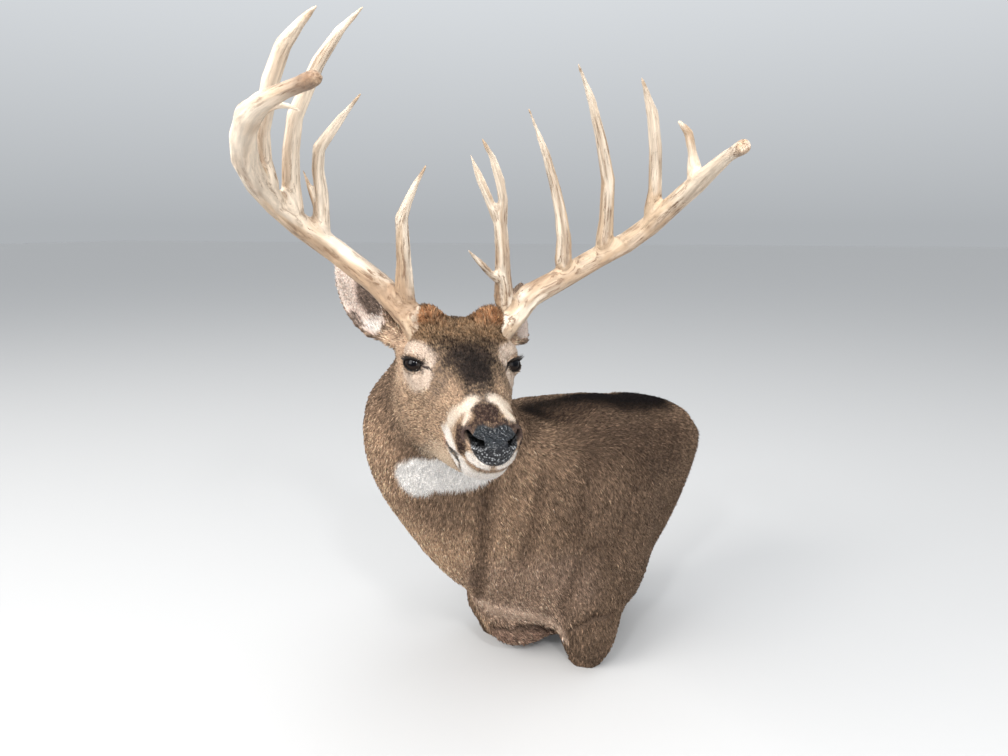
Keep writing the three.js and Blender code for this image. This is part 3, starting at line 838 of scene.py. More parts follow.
# Marks: line, core and edge in millimetres, colour, strength.
BODY_MARKS = (
    ([(455, 0, 400), (470, 0, 260), (440, 0, 170)], 70, 200, NECK, 0.9),
    ([(520, -60, 380), (540, -30, 300), (500, -20, 230)], 50, 130, NECK_FRONT, 0.8),
    ([(640, 10, 470), (600, -40, 420)], 30, 120, NECK_FRONT, 0.6),
    ([(20, 25, 478), (110, 30, 496), (220, 34, 500), (310, 24, 496)], 40, 84, DORSAL, 1.0),
    ([(310, 24, 496), (380, 20, 480), (440, 60, 510)], 16, 70, DORSAL, 0.6),
    ([(280, 80, 440), (180, 120, 420), (60, 130, 410)], 25, 110, BODY_DARK, 0.8),
    ([(280, -80, 440), (180, -120, 420), (60, -130, 410)], 25, 110, BODY_DARK, 0.8),
    ([(480, 60, 220), (430, 95, 200), (370, 125, 195)], 30, 100, CHEST, 0.6),
    ([(446, 3, 143), (431, 27, 135), (399, 47, 123), (362, 63, 106)], 20, 70, CHEST, 0.8),
    ([(400, 5, 50), (375, 25, 40), (340, 30, 36)], 20, 50, BELLY, 0.9),
)
NECK_FOLD = [
    (534, 114, 417), (529, 103, 387), (522, 89, 347), (514, 75, 295), (500, 52, 236), (461, -2, 162),
]
SHOULDER_FOLD = [(410, 120, 424), (428, 127, 377), (441, 121, 325), (448, 105, 267)]
FLANK_FOLD = [(309, 130, 437), (330, 144, 393), (349, 148, 342), (358, 144, 298)]
REAR_FOLD = [(191, 151, 381), (220, 159, 322), (246, 158, 270), (278, 159, 231)]
LOW_FOLD = [(300, 152, 262), (340, 144, 244), (347, 134, 206), (351, 121, 167), (345, 107, 124)]
STUB_CREASE = [(332, 105, 88), (324, 123, 101), (305, 149, 121), (266, 158, 118)]
CHEST_RIM = [(446, 3, 143), (431, 27, 135), (399, 47, 123), (362, 63, 106), (335, 76, 86), (326, 89, 68)]
UNDER_RIM = [(424, -6, 84), (410, 8, 82), (384, 30, 82), (352, 48, 76), (326, 52, 60)]
# Creases and swellings: line, depth in millimetres (negative swells), half width.
BODY_FOLDS = (
    (NECK_FOLD, 9.0, 13),
    (SHOULDER_FOLD, 7.0, 12),
    (FLANK_FOLD, 6.0, 13),
    (REAR_FOLD, 6.0, 15),
    (LOW_FOLD, 8.0, 12),
    (STUB_CREASE, 9.0, 9),
    (UNDER_RIM, 9.0, 9),
    (CHEST_RIM, -4.0, 9),
)
# Painted shade along the body's creases and a painted shadow in the hollow under the chest's rim, with a
# lighter band along the rim itself: line, core and edge in millimetres, colour, strength.
BODY_LINES = (
    (NECK_FOLD, 5, 24, BODY_DARK, 0.75),
    (SHOULDER_FOLD, 4, 22, BODY_DARK, 0.5),
    (FLANK_FOLD, 4, 24, BODY_DARK, 0.5),
    (REAR_FOLD, 4, 26, BODY_DARK, 0.45),
    (LOW_FOLD, 4, 22, BODY_DARK, 0.6),
    (STUB_CREASE, 3, 14, BODY_DARK, 0.85),
    (CHEST_RIM, 6, 24, RIM, 0.8),
    (UNDER_RIM, 5, 14, HOLLOW_SHADE, 0.85),
)
HEAD_MARKS = (
    ([(10, 48, -60), (70, 42, -40), (110, 34, -20)], 26, 60, CHEEK, 1.0),
    ([(-20, 52, -50), (-50, 60, -70)], 18, 60, CHEEK, 0.75),
    ([(-60, 62, -5), (-40, 62, -20)], 12, 46, TEMPLE, 0.7),
    ([(-75, 84, 5), (-60, 78, -20)], 12, 34, TEMPLE, 0.7),
    ([(-45, 30, 46), (-10, 34, 44), (-40, 0, 46), (-10, 0, 42)], 24, 52, SCALP, 1.0),
    ([(20, 44, 22), (45, 42, 12), (66, 40, 6)], 10, 30, TEMPLE_DARK, 0.85),
    ([(8, 26, 36), (18, 20, 36), (30, 0, 36)], 8, 36, FOREHEAD, 0.7),
    ([(45, 18, 28), (60, 8, 32), (76, 0, 32)], 8, 36, FOREHEAD, 0.93),
    ([(72, 0, 30), (93, 6, 29), (121, 3, 26)], 8, 24, FOREHEAD, 0.9),
    ([(121, 0, 27), (150, 0, 24), (166, 0, 20)], 8, 17, BRIDGE, 0.95),
    ([(-50, 30, 56), (-50, 46, 58)], 6, 22, RUST, 0.6),
    ([(-46, 50, 54), (-58, 60, 40), (-62, 66, 24)], 6, 13, RUST, 0.85),
    ([(-30, 74, 12), (-14, 70, 22), (0, 60, 26), (12, 52, 23), (24, 47, 16)], 3, 15, EYE_WHITE, 0.9),
    ([(-26, 75, -14), (-4, 73, -18), (20, 65, -12), (38, 56, 0)], 6, 20, EYE_WHITE, 0.9),
    ([(34, 52, 4), (44, 52, 0)], 4, 11, EYE_WHITE, 0.8),
    ([(-34, 75, 4), (-32, 76, -8)], 3, 10, EYE_WHITE, 0.6),
    ([(139, 14, 22), (143, 22, 15), (136, 30, 3), (122, 34, -12)], 3, 16, MUZZLE, 0.85),
    ([(142, 13, 23), (152, 20, 20), (164, 25, 16), (175, 28, 12)], 2, 10, MUZZLE, 0.9),
    ([(122, 35, -12), (112, 37, -28), (104, 37, -40)], 2, 12, MUZZLE, 0.65),
    ([(100, 38, -38), (110, 36, -30)], 2, 12, WHITE, 0.5),
    ([(158, 8, 22), (170, 4, 18), (178, 12, 14), (180, 22, 11)], 6, 12, WING, 0.95),
    ([(120, 34, -44), (150, 30, -52), (170, 22, -50), (176, 0, -55)], 12, 24, WHITE, 0.9),
    ([(192, 22, -20), (200, 10, -28)], 5, 11, WHITE, 0.9),
    ([(98, 27, -85), (60, 20, -96), (0, 20, -118), (-50, 20, -150)], 8, 38, JAW, 0.85),
    ([(168, 36, 2), (166, 37, -8), (164, 36, -20), (178, 32, -14)], 8, 13, WING, 0.96),
    ([(184, 30, 8), (174, 35, 6), (182, 32, -6)], 6, 10, WING, 0.95),
    ([(100, 37, -50), (110, 35, -52)], 2, 8, LIP_PINK, 0.75),
    ([(106, 35, -51), (119, 32, -53), (142, 32, -47), (156, 31, -43)], 1.8, 6, BLACK, 0.9),
    ([(160, 31, -42), (160, 28, -52), (157, 26, -64)], 1.8, 5, BLACK, 0.9),
)
SCALP_MIDDLE = [(-50, 0, 50), (10, 0, 40)]
THROAT_PATCH = [(-88, -38, -227), (-78, -26, -212), (-70, 0, -210), (-67, 30, -208), (-64, 60, -203)]
# The line of painted shade deep in each ear's hollow.
EAR_HOLLOW = [(-174, 122, 52), (-159, 115, 34), (-147, 106, 26), (-112, 94, 42)]
EAR_FRINGE = [(-146, 136, 14), (-122, 126, 8)]
EAR_TUFT = [(-124, 106, 10), (-108, 99, 4), (-100, 98, -6)]


def blend(base, colour, mask):
    return base + (np.array(colour) - base) * mask[:, None]


def wobble(coords, size, amount):
    """The places moved a little by noise, so that the markings' edges are uneven."""
    shift = [noise.layered(coords + 91 * k, size, 2) - 0.5 for k in (1, 2, 3)]
    return coords + np.column_stack(shift) * amount


def tear_mask(coords, side):
    """1 in the dark groove that runs forward from an eye's front corner."""
    away, passed = line_distance(coords, mirrored(TEAR_GROOVE, side))
    return 1 - smooth(away, 3.8 - 3.2 * passed, 6.0 - 4.2 * passed)


def painted(colour, coords, marks, sides=(1,)):
    """The colours with each mark laid over them, on each side."""
    for line, core, edge, paint, strength in marks:
        for side in sides:
            mask = near(coords, mirrored(line, side), core, edge)
            colour = blend(colour, paint, strength * mask)
    return colour


def nose_painted(colour, coords):
    """The colours with the pad, its painted sheen and painted highlights, the nostrils and the mouth
    laid over them.
    """
    pad = pad_mask(coords)
    high = smooth(coords[:, 2], -8, 4)
    stone = pebbles(coords, PEBBLE)
    colour = blend(colour, PAD, pad)
    # Painted bluish sheen over the pad's upper part.
    colour = blend(colour, PAD_SHEEN, pad * high * (0.4 + 0.6 * noise(coords, 6.0)))
    # Painted highlights on the pebbles of the pad's lower part.
    colour = blend(colour, PEBBLE_HIGHLIGHT, pad * (1 - high) * smooth(stone, 0.42, 0.72) * 0.55)
    # Painted sheen along the pad's upper edge.
    colour = blend(colour, PAD_SHEEN, pad * (1 - pad) * 4 * high)
    for side in SIDES.values():
        far = nostril_mask(coords, side)[0]
        hole = (1 - smooth(far, 2.8, 4.6)) * (coords[:, 0] > 160) * (coords[:, 2] > -14)
        colour = blend(colour, BLACK, hole)
        away, passed = line_distance(coords, mirrored(MOUTH, side))
        fade = 1 - 0.75 * smooth(passed, 0.5, 0.75)
        colour = blend(colour, BLACK, (1 - smooth(away, 1.2, 2.8)) * 0.9 * fade)
    return colour


def ear_painted(colour, one, points, normals, h):
    """The colours with one ear's back, its hollow with painted shade deep inside, and its edges laid
    over them.
    """
    on = one.mask(points)
    inner = one.inside(points, normals) * on
    colour = blend(colour, EAR_BACK, on * (1 - inner))
    colour = blend(colour, EAR_PINK, inner)
    fringe = near(h, mirrored(EAR_FRINGE, one.side), 4, 10)
    colour = blend(colour, EAR_DARK, on * fringe * 0.85)
    # Painted shade deep in the ear's hollow.
    hollow = near(h, mirrored(EAR_HOLLOW, one.side), 10, 17)
    colour = blend(colour, EAR_DARK, inner * hollow * 0.93)
    colour = blend(colour, WHITE, inner * near(h, mirrored(EAR_TUFT, one.side), 6, 14))
    tip = smooth(one.places(points)[0], 0.8, 1.0) * (1 - inner) * on
    return blend(colour, EAR_DARK, tip * 0.8)


def markings(points, normals):
    """The colour of the skin and coat at each place, with painted shade in the body's creases, under the
    chest's rim and deep in the ears' hollows, and a painted sheen and highlights on the nose pad.
    """
    b = wobble(in_body(points), 45, 34)
    h = wobble(in_head(points), 9, 4)
    h[:, 1] += FACE_SHIFT * smooth(h[:, 0], 60, 140) * smooth(h[:, 2], -25, 5)
    colour = np.array(BODY) * (0.85 + 0.3 * noise.layered(points, 0.11, 3))[:, None]
    colour = painted(colour, b, BODY_MARKS)
    # Painted shade along the creases and a painted shadow under the chest's rim, with a lighter band on
    # the rim.
    b = wobble(in_body(points), 30, 8)
    colour = painted(colour, b, BODY_LINES)
    nape = smooth(normals @ (unit((-1, 0, 1)) @ BODY_AXES), 0.45, 0.95) * smooth(b[:, 0], 330, 420)
    colour = blend(colour, BODY_DARK, 0.8 * nape)
    colour = blend(colour, CHEEK, 0.75 * face_mask(h, (-115, -60), (-175, -110)))
    colour = painted(colour, h, HEAD_MARKS, SIDES.values())
    colour = blend(colour, THROAT, 0.97 * near(h, THROAT_PATCH, 29, 40))
    coords = in_head(points)
    colour = nose_painted(colour, coords)
    for eye in eyes.values():
        gap, across, far = eye.gap(points)
        rim = (1 - smooth(gap, 1.0, 2.4)) * (far < 26) * (np.abs(across) < 1.6)
        colour = blend(colour, BLACK, rim)
        colour = blend(colour, TEAR, tear_mask(coords, eye.side) * 0.95)
    for one in ears.values():
        colour = ear_painted(colour, one, points, normals, h)
    return np.clip(colour, 0.002, 0.95)


# ---------------- the coat
# A place, then the way the hair lies there.
HEAD_COMB = (
    ((175, 0, 20), (-1, 0, 0.1)),
    ((190, 10, -30), (-0.6, 0.6, -0.5)),
    ((120, 30, 10), (-1, 0.25, 0.05)),
    ((120, 34, -25), (-1, 0.1, -0.25)),
    ((20, 0, 36), (-1, 0.1, 0.1)),
    ((20, 30, 34), (-0.9, 0.5, 0.2)),
    ((-50, 0, 46), (-1, 0.15, 0)),
    ((60, 45, -40), (-1, 0.1, -0.35)),
    ((20, 48, -80), (-1, 0, -0.5)),
    ((140, 15, -62), (-1, 0, -0.25)),
    ((60, 10, -92), (-1, 0, -0.3)),
    ((-60, 50, -120), (-0.6, 0.05, -1)),
    ((-70, 72, -10), (-0.9, 0.25, -0.2)),
    ((-100, 40, 30), (-1, 0.2, 0)),
    ((-80, 0, -220), (-0.3, 0, -1)),
)
BODY_COMB = (
    ((450, 0, 250), (-0.1, 0, -1)),
    ((450, 0, 150), (-0.3, 0, -1)),
    ((420, 90, 400), (-0.5, 0, -0.9)),
    ((350, 110, 330), (-0.35, 0, -1)),
    ((200, 140, 300), (-0.45, 0, -0.9)),
    ((60, 130, 250), (-0.7, 0, -0.7)),
    ((60, 130, 400), (-0.8, 0.1, -0.5)),
    ((150, 30, 495), (-1, 0.25, 0)),
    ((320, 30, 470), (-1, 0.2, 0)),
    ((350, 40, 90), (-0.8, 0.1, -0.5)),
    ((200, 0, 60), (-1, 0, 0)),
    ((300, 115, 50), (-0.1, 0, -1)),
)
COMB_REACH = 62


def comb(points):
    """The way the hair lies at each place, before it is laid along the skin."""
    total = np.zeros((len(points), 3))
    for coords, axes, guides in (
        (in_head(points), HEAD_AXES, HEAD_COMB),
        (in_body(points), BODY_AXES, BODY_COMB),
    ):
        for place, way in guides:
            for side in (1, -1):
                far = distance(coords, mirrored(place, side))
                pull = bell(far, COMB_REACH) + 1e-9 / (1 + far)
                total += pull[:, None] * (unit(np.array(way) * [1, side, 1]) @ axes)
    total = unit(total)
    for one in ears.values():
        on = one.mask(points)[:, None]
        total = unit(total * (1 - on) + one.axis * on)
    return total


# Lengths of hair in millimetres.
BODY_HAIR = 8.4
FACE_HAIR = 5.6
MUZZLE_SHORTER = 2.6  # taken off towards the nose
THROAT_HAIR = 10
EAR_HAIR = 5.2
EAR_TUFT_LONGER = 6.0
MOUND_LONGER = 3.0  # added at the antlers' roots
RIM_LONGER = 5.0  # added along the chest's rim
EYE_SHORTER = 0.4  # share taken off round the eyes
BODY_COVER = 1.32
FACE_COVER_MORE = 0.10
EAR_COVER = 1.3


def hair_size(points):
    """Length and width of a tuft in millimetres, and how far its tip stands off."""
    h = in_head(points)
    facial = face_mask(h, (-120, -40), (-185, -110))
    face_hair = FACE_HAIR - MUZZLE_SHORTER * smooth(h[:, 0], 40, 150)
    length = BODY_HAIR * (1 - facial) + facial * face_hair
    for eye in eyes.values():
        length = length * (1 - EYE_SHORTER * bell(distance(points, eye.centre), 0.03))
    throat = near(h, THROAT_PATCH, 30, 80)
    length = length * (1 - throat) + THROAT_HAIR * throat
    mound = np.maximum(near(h, [(-60, 46, 44)], 20, 36), near(h, [(-60, -46, 44)], 20, 36))
    length = length + MOUND_LONGER * mound * facial
    rim = near(in_body(points), [(340, -60, 66), (340, 60, 66)], 40, 120)
    length = length + RIM_LONGER * rim
    on = ear_mask(points)
    length = length * (1 - on) + EAR_HAIR * on
    for side in SIDES.values():
        tuft = near(h, mirrored(EAR_TUFT, side), 8, 20)
        length = length + EAR_TUFT_LONGER * on * tuft
    return length, 0.45 + 0.085 * length, 0.10 * length + 0.2


def coverage(points):
    """How many times over the tufts cover the skin."""
    h = in_head(points)
    cover = BODY_COVER + FACE_COVER_MORE * face_mask(h, (-120, -40), (-185, -110))
    bare = pad_mask(h)
    for side in SIDES.values():
        far = nostril_mask(h, side)[0]
        bare = np.maximum(bare, (1 - smooth(far, 6.5, 8.5)) * (h[:, 0] > 165))
        away = line_distance(h, mirrored(MOUTH, side))[0]
        bare = np.maximum(bare, 1 - smooth(away, 1.5, 3.5))
    for eye in eyes.values():
        gap, _, far = eye.gap(points)
        bare = np.maximum(bare, (1 - smooth(gap, 0.8, 2.0)) * (far < 26))
        bare = np.maximum(bare, tear_mask(h, eye.side))
    on = ear_mask(points)
    return (cover * (1 - on) + EAR_COVER * on) * (1 - bare)


class Surface:
    """The skin's triangles, from which tufts take their roots."""

    def __init__(self, mesh, colours):
        mesh.calc_loop_triangles()
        self.corners = read(mesh.loop_triangles, "vertices", 3, np.int32)
        loops = read(mesh.loop_triangles, "loops", 3, np.int32)
        self.maps = read(mesh.uv_layers[UV_NAME].data, "uv", 2)[loops]
        self.points = points_of(mesh)
        self.normals = normals_of(mesh)
        self.colours = colours
        a, b, c = (self.points[self.corners[:, k]] for k in range(3))
        self.areas = np.linalg.norm(np.cross(b - a, c - a), axis=1) / 2 / MM**2
        self.middles = (a + b + c) / 3

    def roots(self, counts, rng):
        """Random places on the triangles: point, normal, colour and place on the map."""
        whole = np.floor(counts).astype(int)
        whole += rng.random(len(counts)) < counts - whole
        chosen = np.repeat(np.arange(len(counts)), whole)
        rng.shuffle(chosen)
        u = np.sqrt(rng.random(len(chosen)))
        v = rng.random(len(chosen))
        weights = np.column_stack([1 - u, u * (1 - v), u * v])
        corners = self.corners[chosen]

        def mixed(values):
            return np.einsum("ij,ijk->ik", weights, values)

        return (
            mixed(self.points[corners]),
            unit(mixed(self.normals[corners])),
            mixed(self.colours[corners]),
            mixed(self.maps[chosen]),
        )


PATCH = 0.0015  # half the width of a tuft's patch on the map
TUFT_TONES = (0.60, 0.60, 0.78, 1.75)  # of the two corners at the root, the ridge and the tip
TUFT_SUNK = 0.0005


def tuft_mesh(name, roots, normals, ways, length, width, lift, colours, maps):
    """Many flat pointed tufts, each a closed solid of four faces with a low ridge."""
    count = len(roots)
    across = np.cross(ways, normals)
    half = (width / 2)[:, None] * MM
    long = length[:, None] * MM
    high = lift[:, None] * MM
    sunk = roots - normals * TUFT_SUNK
    left = sunk - across * half
    right = sunk + across * half
    ridge = roots + ways * long * 0.38 + normals * (high * 0.75)
    tip = roots + ways * long + normals * high
    points = np.stack([left, right, ridge, tip], 1).reshape(-1, 3)
    points[:, 2] = np.maximum(points[:, 2], FLATS)
    pattern = np.array([[0, 2, 3], [2, 1, 3], [0, 1, 2], [0, 3, 1]])[:, ::-1]
    triangles = (np.arange(count) * 4)[:, None, None] + pattern[None]
    mesh = mesh_from(name, points, triangles.reshape(-1, 3))
    paint = np.clip(colours[:, None, :] * np.array(TUFT_TONES)[None, :, None], 0, 0.97)
    colour_points(mesh, paint.reshape(-1, 3))
    spread = np.array([[-1, -1], [1, -1], [0, 0], [0, 1]]) * PATCH
    corners = (maps[:, None, :] + spread[None]).reshape(-1, 2)
    layer = mesh.uv_layers.new(name=UV_NAME)
    layer.data.foreach_set("uv", corners[triangles.ravel()].astype(np.float32).ravel())
    return mesh


TUFTS_A_PIECE = 48000
SPECKLE = 0.38
FLECK = (0.300, 0.205, 0.125)
CLUMP = 0.0019  # grain in metres of the light and dark clumps of hair
CLUMP_TONE = 0.58
SCALP_CLUMP = 0.0045
STRAYS = 0.12  # share of the tufts that stand off more than the rest
WALL_BARE = 0.017  # no tuft is rooted nearer to the wall than this
FLAT_BARE = 0.003


def contrast(points, grain):
    """Seeded clumps from -1 to 1 with little between the two."""
    return 2 * smooth(noise(points, grain), 0.30, 0.70) - 1


def speckled(roots, colours, rng):
    """The colours made lighter and darker tuft by tuft and clump by clump."""
    bright = np.sum(colours, axis=1) / 3
    plain = 1 - 0.8 * smooth(bright, 0.24, 0.42)
    clump = contrast(roots, CLUMP)
    h = in_head(roots)
    mottled = near(h, SCALP_MIDDLE, 40, 75) * contrast(roots + 3, SCALP_CLUMP)
    tone = rng.normal(0, SPECKLE, len(roots)) + CLUMP_TONE * clump + 0.5 * mottled
    colours = colours * np.exp(tone * plain)[:, None]
    fleck = (clump > 0.35) * (1 - smooth(bright, 0.12, 0.32)) * smooth(bright, 0.008, 0.05)
    return blend(colours, FLECK, fleck * (0.05 + 0.55 * smooth(h[:, 0], -75, -40)))


def make_coat(surface, material):
    """The tufts of the whole coat, as several pieces."""
    rng = np.random.default_rng(SEED)
    length, width, lift = hair_size(surface.middles)
    counts = surface.areas * coverage(surface.middles) / (0.5 * length * width)
    away_from_wall = surface.middles[:, 1] < -WALL_BARE
    counts = counts * away_from_wall * (surface.middles[:, 2] > FLATS + FLAT_BARE)
    roots, normals, colours, maps = surface.roots(counts, rng)
    count = len(roots)
    size = rng.uniform(0.75, 1.25, count)
    ways = comb(roots) + rng.normal(0, 0.16, (count, 3))
    ways = unit(ways - normals * np.sum(ways * normals, axis=1)[:, None])
    colours = speckled(roots, colours, rng)
    length, width, lift = hair_size(roots)
    lift = np.where(rng.random(count) < STRAYS, lift * 2.6, lift)
    h = in_head(roots)
    group = np.where(ear_mask(roots) > 0.5, 1, np.where(h[:, 0] > -60, 0, 2))
    group = np.where((group == 2) & (in_body(roots)[:, 0] > 330), 3, group)
    for k, name in enumerate(("face", "ears", "trunk", "neck")):
        members = np.flatnonzero(group == k)
        pieces = max(math.ceil(len(members) / TUFTS_A_PIECE), 1)
        for number, part in enumerate(np.array_split(members, pieces), 1):
            columns = (roots, normals, ways, length * size, width * size, lift * size, colours, maps)
            mesh = tuft_mesh(f"coat_{name}_{number}", *(column[part] for column in columns))
            piece = new_object(mesh.name, mesh, material)
            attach(piece, "root")


# ---------------- antlers
ANTLER_VOXEL = 0.0019
ANTLER_GROWTH = 0.0008
TIP_GROWTH = 2.0
CORE_ROUNDS = 180  # smoothing that draws each branch in towards its middle line
GRAIN_ACROSS = 1.5 * MM
GRAIN_ALONG = 38 * MM
IVORY = (0.540, 0.405, 0.280)
IVORY_PALE = (0.740, 0.630, 0.505)
TAN = (0.300, 0.185, 0.105)
STAIN = (0.190, 0.105, 0.055)


def branch_ends(parts):
    """The far ends of the tines, and of the beam, of one antler."""
    root = points_of(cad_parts["head"].data).mean(axis=0)
    ends = {}
    for name in parts:
        points = points_of(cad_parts[name].data)
        ends[name] = points[np.argmax(distance(points, root))]
    tines = [end for name, end in ends.items() if "_tine_" in name]
    beams = [end for name, end in ends.items() if "_tine_" not in name]
    return np.array(tines), max(beams, key=lambda end: np.linalg.norm(end - root))


def antler_colours(points, grain, ridge, masks):
    """The colour at each place, and how pitted it is."""
    base, worn, blunt, end = masks
    patches = noise.layered(points, 0.05, 3)
    streak = noise.layered(grain + 11, 3.4, 3)
    colour = np.tile(np.array(IVORY), (len(points), 1))
    colour = blend(colour, IVORY_PALE, smooth(noise.layered(grain + 5, 3.0, 2), 0.42, 0.60))
    colour = blend(colour, TAN, 0.55 * smooth(streak, 0.48, 0.62) * (1 - 0.75 * worn))
    colour = blend(colour, IVORY_PALE, 0.7 * worn * (1 - blunt))
    colour = blend(colour, TAN, 0.5 * base * smooth(ridge, 0.14, -0.14))
    colour = blend(colour, TAN, 0.35 * blunt)
    colour = blend(colour, STAIN, 0.80 * end * smooth(patches, 0.41, 0.53))
    pitted = 0.55 + 0.4 * base + 0.5 * smooth(patches, 0.46, 0.58) - 0.75 * worn
    return np.clip(colour, 0, 0.95), np.clip(np.maximum(pitted, end), 0, 1)


def make_antler(name, material):
    """One antler as a single piece, grooved along its branches and stained in the grooves."""
    parts = [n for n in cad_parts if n.startswith(f"antler_{name}_")]
    branches = [grown(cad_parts[n].data, ANTLER_GROWTH) for n in parts]
    mesh = remeshed(joined(branches), ANTLER_VOXEL)
    points = points_of(mesh)
    edges = edges_of(mesh)
    tines, beam_end = branch_ends(parts)
    to_tip = np.min([distance(points, tip) for tip in tines], axis=0)
    points = softened(points, edges, 8 + 12 * (1 - smooth(to_tip, 0.015, 0.05)))
    core = softened(points, edges, CORE_ROUNDS)
    grain = (points - core) / GRAIN_ACROSS + core / GRAIN_ALONG
    set_points(mesh, points)
    normals = normals_of(mesh)
    far = distance(points, head(-60, SIDES[name] * 45, 38))
    base = 1 - smooth(far, 0.03, 0.22)
    burr = 1 - smooth(far, 0.02, 0.055)
    to_end = distance(points, beam_end)
    worn = 1 - smooth(to_tip, 0.02, 0.13)
    blunt = 1 - smooth(np.minimum(to_tip, to_end), 0.008, 0.035)
    groove = smooth(noise(grain + 30, 3.2), 0.60, 0.78)
    ridge = noise(grain, 1.7) - 0.5
    knobs = pebbles(points / MM, 6.0) * (0.8 * base + 1.2 * burr)
    shift = 0.9 * ridge * (0.55 + 0.7 * base) - 1.0 * groove
    shift = (shift * (1 - 0.6 * worn) + knobs) * (1 - blunt) + TIP_GROWTH * blunt
    points = softened(points + normals * (shift * MM)[:, None], edges, 9 * blunt)
    set_points(mesh, points)
    masks = (base, worn, blunt, 1 - smooth(to_end, 0.015, 0.07))
    colours, pitted = antler_colours(points, grain, ridge, masks)
    colour_points(mesh, colours)
    number_points(mesh, SHINE, pitted)
    layer = mesh.attributes.new(GRAIN, "FLOAT_VECTOR", "POINT")
    layer.data.foreach_set("vector", grain.astype(np.float32).ravel())
    smooth_faces(mesh)
    piece = new_object(f"antler_{name}", mesh, material)
    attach(piece, "root")
    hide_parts(*parts)


# ---------------- eyes, lids and lashes
def make_eye(eye, material):
    """The glass eye: dark iris, a wide level pupil and a slight bulge."""
    mesh = ball((0, 0, 0), 1.0, 40)
    points = unit(points_of(mesh))
    toward = points @ eye.look
    across = points @ eye.front
    upward = points @ eye.top
    bulge = 1 + 0.02 * smooth(toward, 0.8, 1.0)
    oval = np.hypot(across / 0.46, upward / 0.30)
    pupil = (toward > 0) * (1 - smooth(oval, 0.85, 1.1))
    iris = (toward > 0) * (1 - smooth(np.hypot(across, upward), 0.60, 0.72))
    colour = np.tile(np.array([0.10, 0.08, 0.07]), (len(points), 1))
    colour = blend(colour, (0.010, 0.006, 0.004), iris)
    colour = blend(colour, (0.001, 0.001, 0.002), pupil)
    colour = blend(colour, BLACK, 1 - iris)
    set_points(mesh, eye.centre + points * (eye.radius * bulge)[:, None])
    colour_points(mesh, colour)
    smooth_faces(mesh)
    piece = new_object(f"eye_glass_{eye.name}", mesh, material)
    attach(piece, "root")
    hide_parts("eye_" + eye.name)


LID_STEPS = 40
LID_LIFT = 0.7  # how far out of the ball the lids' margins run, in millimetres
LID_RADII = (0.9, 0.65)  # of the upper and the lower margin
LASHES = 90
LASH_STEPS = 5


def make_lids(eye, rim_finish, lash_finish):
    """The bare dark margins of the lids, and the lashes along the upper one."""
    rim = eye.radius / MM + LID_LIFT
    x = np.linspace(-1, 1, LID_STEPS)
    margins = [
        tube(
            eye.place(x * LID_WIDE, eye.lid(x, upper), np.full(LID_STEPS, rim)),
            np.full(LID_STEPS, radius * MM),
        )
        for upper, radius in zip((True, False), LID_RADII)
    ]
    mesh = joined(margins)
    smooth_faces(mesh)
    piece = new_object(f"lid_rims_{eye.name}", mesh, rim_finish)
    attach(piece, "root")
    rng = np.random.default_rng(SEED + 40 + eye.side)
    hairs = []
    for k in range(LASHES):
        at = rng.uniform(-0.98, 0.62)
        start = eye.place(at * LID_WIDE, eye.lid(at, True) + rng.uniform(0, 0.05), rim + 0.6)
        out = unit(start - eye.centre)
        way = unit(out - eye.front * (0.75 - 0.45 * at) + eye.top * rng.uniform(-0.35, 0.1))
        long = rng.uniform(6, 11) * (1 - 0.35 * abs(at + 0.3))
        steps = np.linspace(0, 1, LASH_STEPS)
        line = start + (way * steps[:, None] + eye.top * (steps**2 * 0.25)[:, None]) * long * MM
        hairs.append(tube(line, np.linspace(0.28, 0.05, LASH_STEPS) * MM, 4))
    piece = new_object(f"lashes_{eye.name}", joined(hairs), lash_finish)
    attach(piece, "root")


# ---------------- materials
class Finish:
    """A new material, with ways to add nodes and to feed its principled shader."""

    def __init__(self, name):
        self.material = bpy.data.materials.new(name)
        self.material.use_nodes = True
        self.nodes = self.material.node_tree.nodes

    def plug(self, node, inputs):
        """Links or sets a node's inputs."""
        for socket, value in inputs.items():
            if isinstance(value, bpy.types.NodeSocket):
                self.material.node_tree.links.new(value, node.inputs[socket])
            else:
                node.inputs[socket].default_value = value

    def add(self, kind, output, inputs=None, **settings):
        """The output of a new node."""
        node = self.nodes.new("ShaderNode" + kind)
        for key, value in settings.items():
            setattr(node, key, value)
        self.plug(node, inputs or {})
        return node.outputs[output]

    def layer(self, name, output):
        """A value that the mesh's vertices carry."""
        return self.add("Attribute", output, attribute_name=name)

    def place(self):
        return self.add("TexCoord", "Object")

    def grain(self, scale, detail=2.0, roughness=0.5, place=None):
        inputs = {"Scale": scale, "Detail": detail, "Roughness": roughness}
        return self.add("TexNoise", "Fac", {"Vector": place or self.place(), **inputs})

    def spread(self, value, start, end, low, high):
        """The value's range from start to end laid over the range from low to high."""
        ends = {"From Min": start, "From Max": end, "To Min": low, "To Max": high}
        return self.add("MapRange", "Result", {"Value": value, **ends})

    def mix(self, factor, a, b, way="MIX"):
        inputs = {"Factor": factor, "A": a, "B": b}
        return self.add("Mix", "Result", inputs, data_type="RGBA", blend_type=way)

    def ramp(self, value, first, last, start=0.0, end=1.0):
        """Two colours blended by a value."""
        node = self.nodes.new("ShaderNodeValToRGB")
        self.plug(node, {"Fac": value})
        for element, colour, place in zip(node.color_ramp.elements, (first, last), (start, end)):
            element.color = (*colour, 1)
            element.position = place
        return node.outputs["Color"]

    def bump(self, height, strength, distance):
        inputs = {"Height": height, "Strength": strength, "Distance": distance}
        return self.add("Bump", "Normal", inputs)

    def done(self, **sockets):
        """The material, its shader fed with the values, an underscore for each space."""
        named = {name.replace("_", " "): value for name, value in sockets.items()}
        self.plug(self.nodes["Principled BSDF"], named)
        return self.material


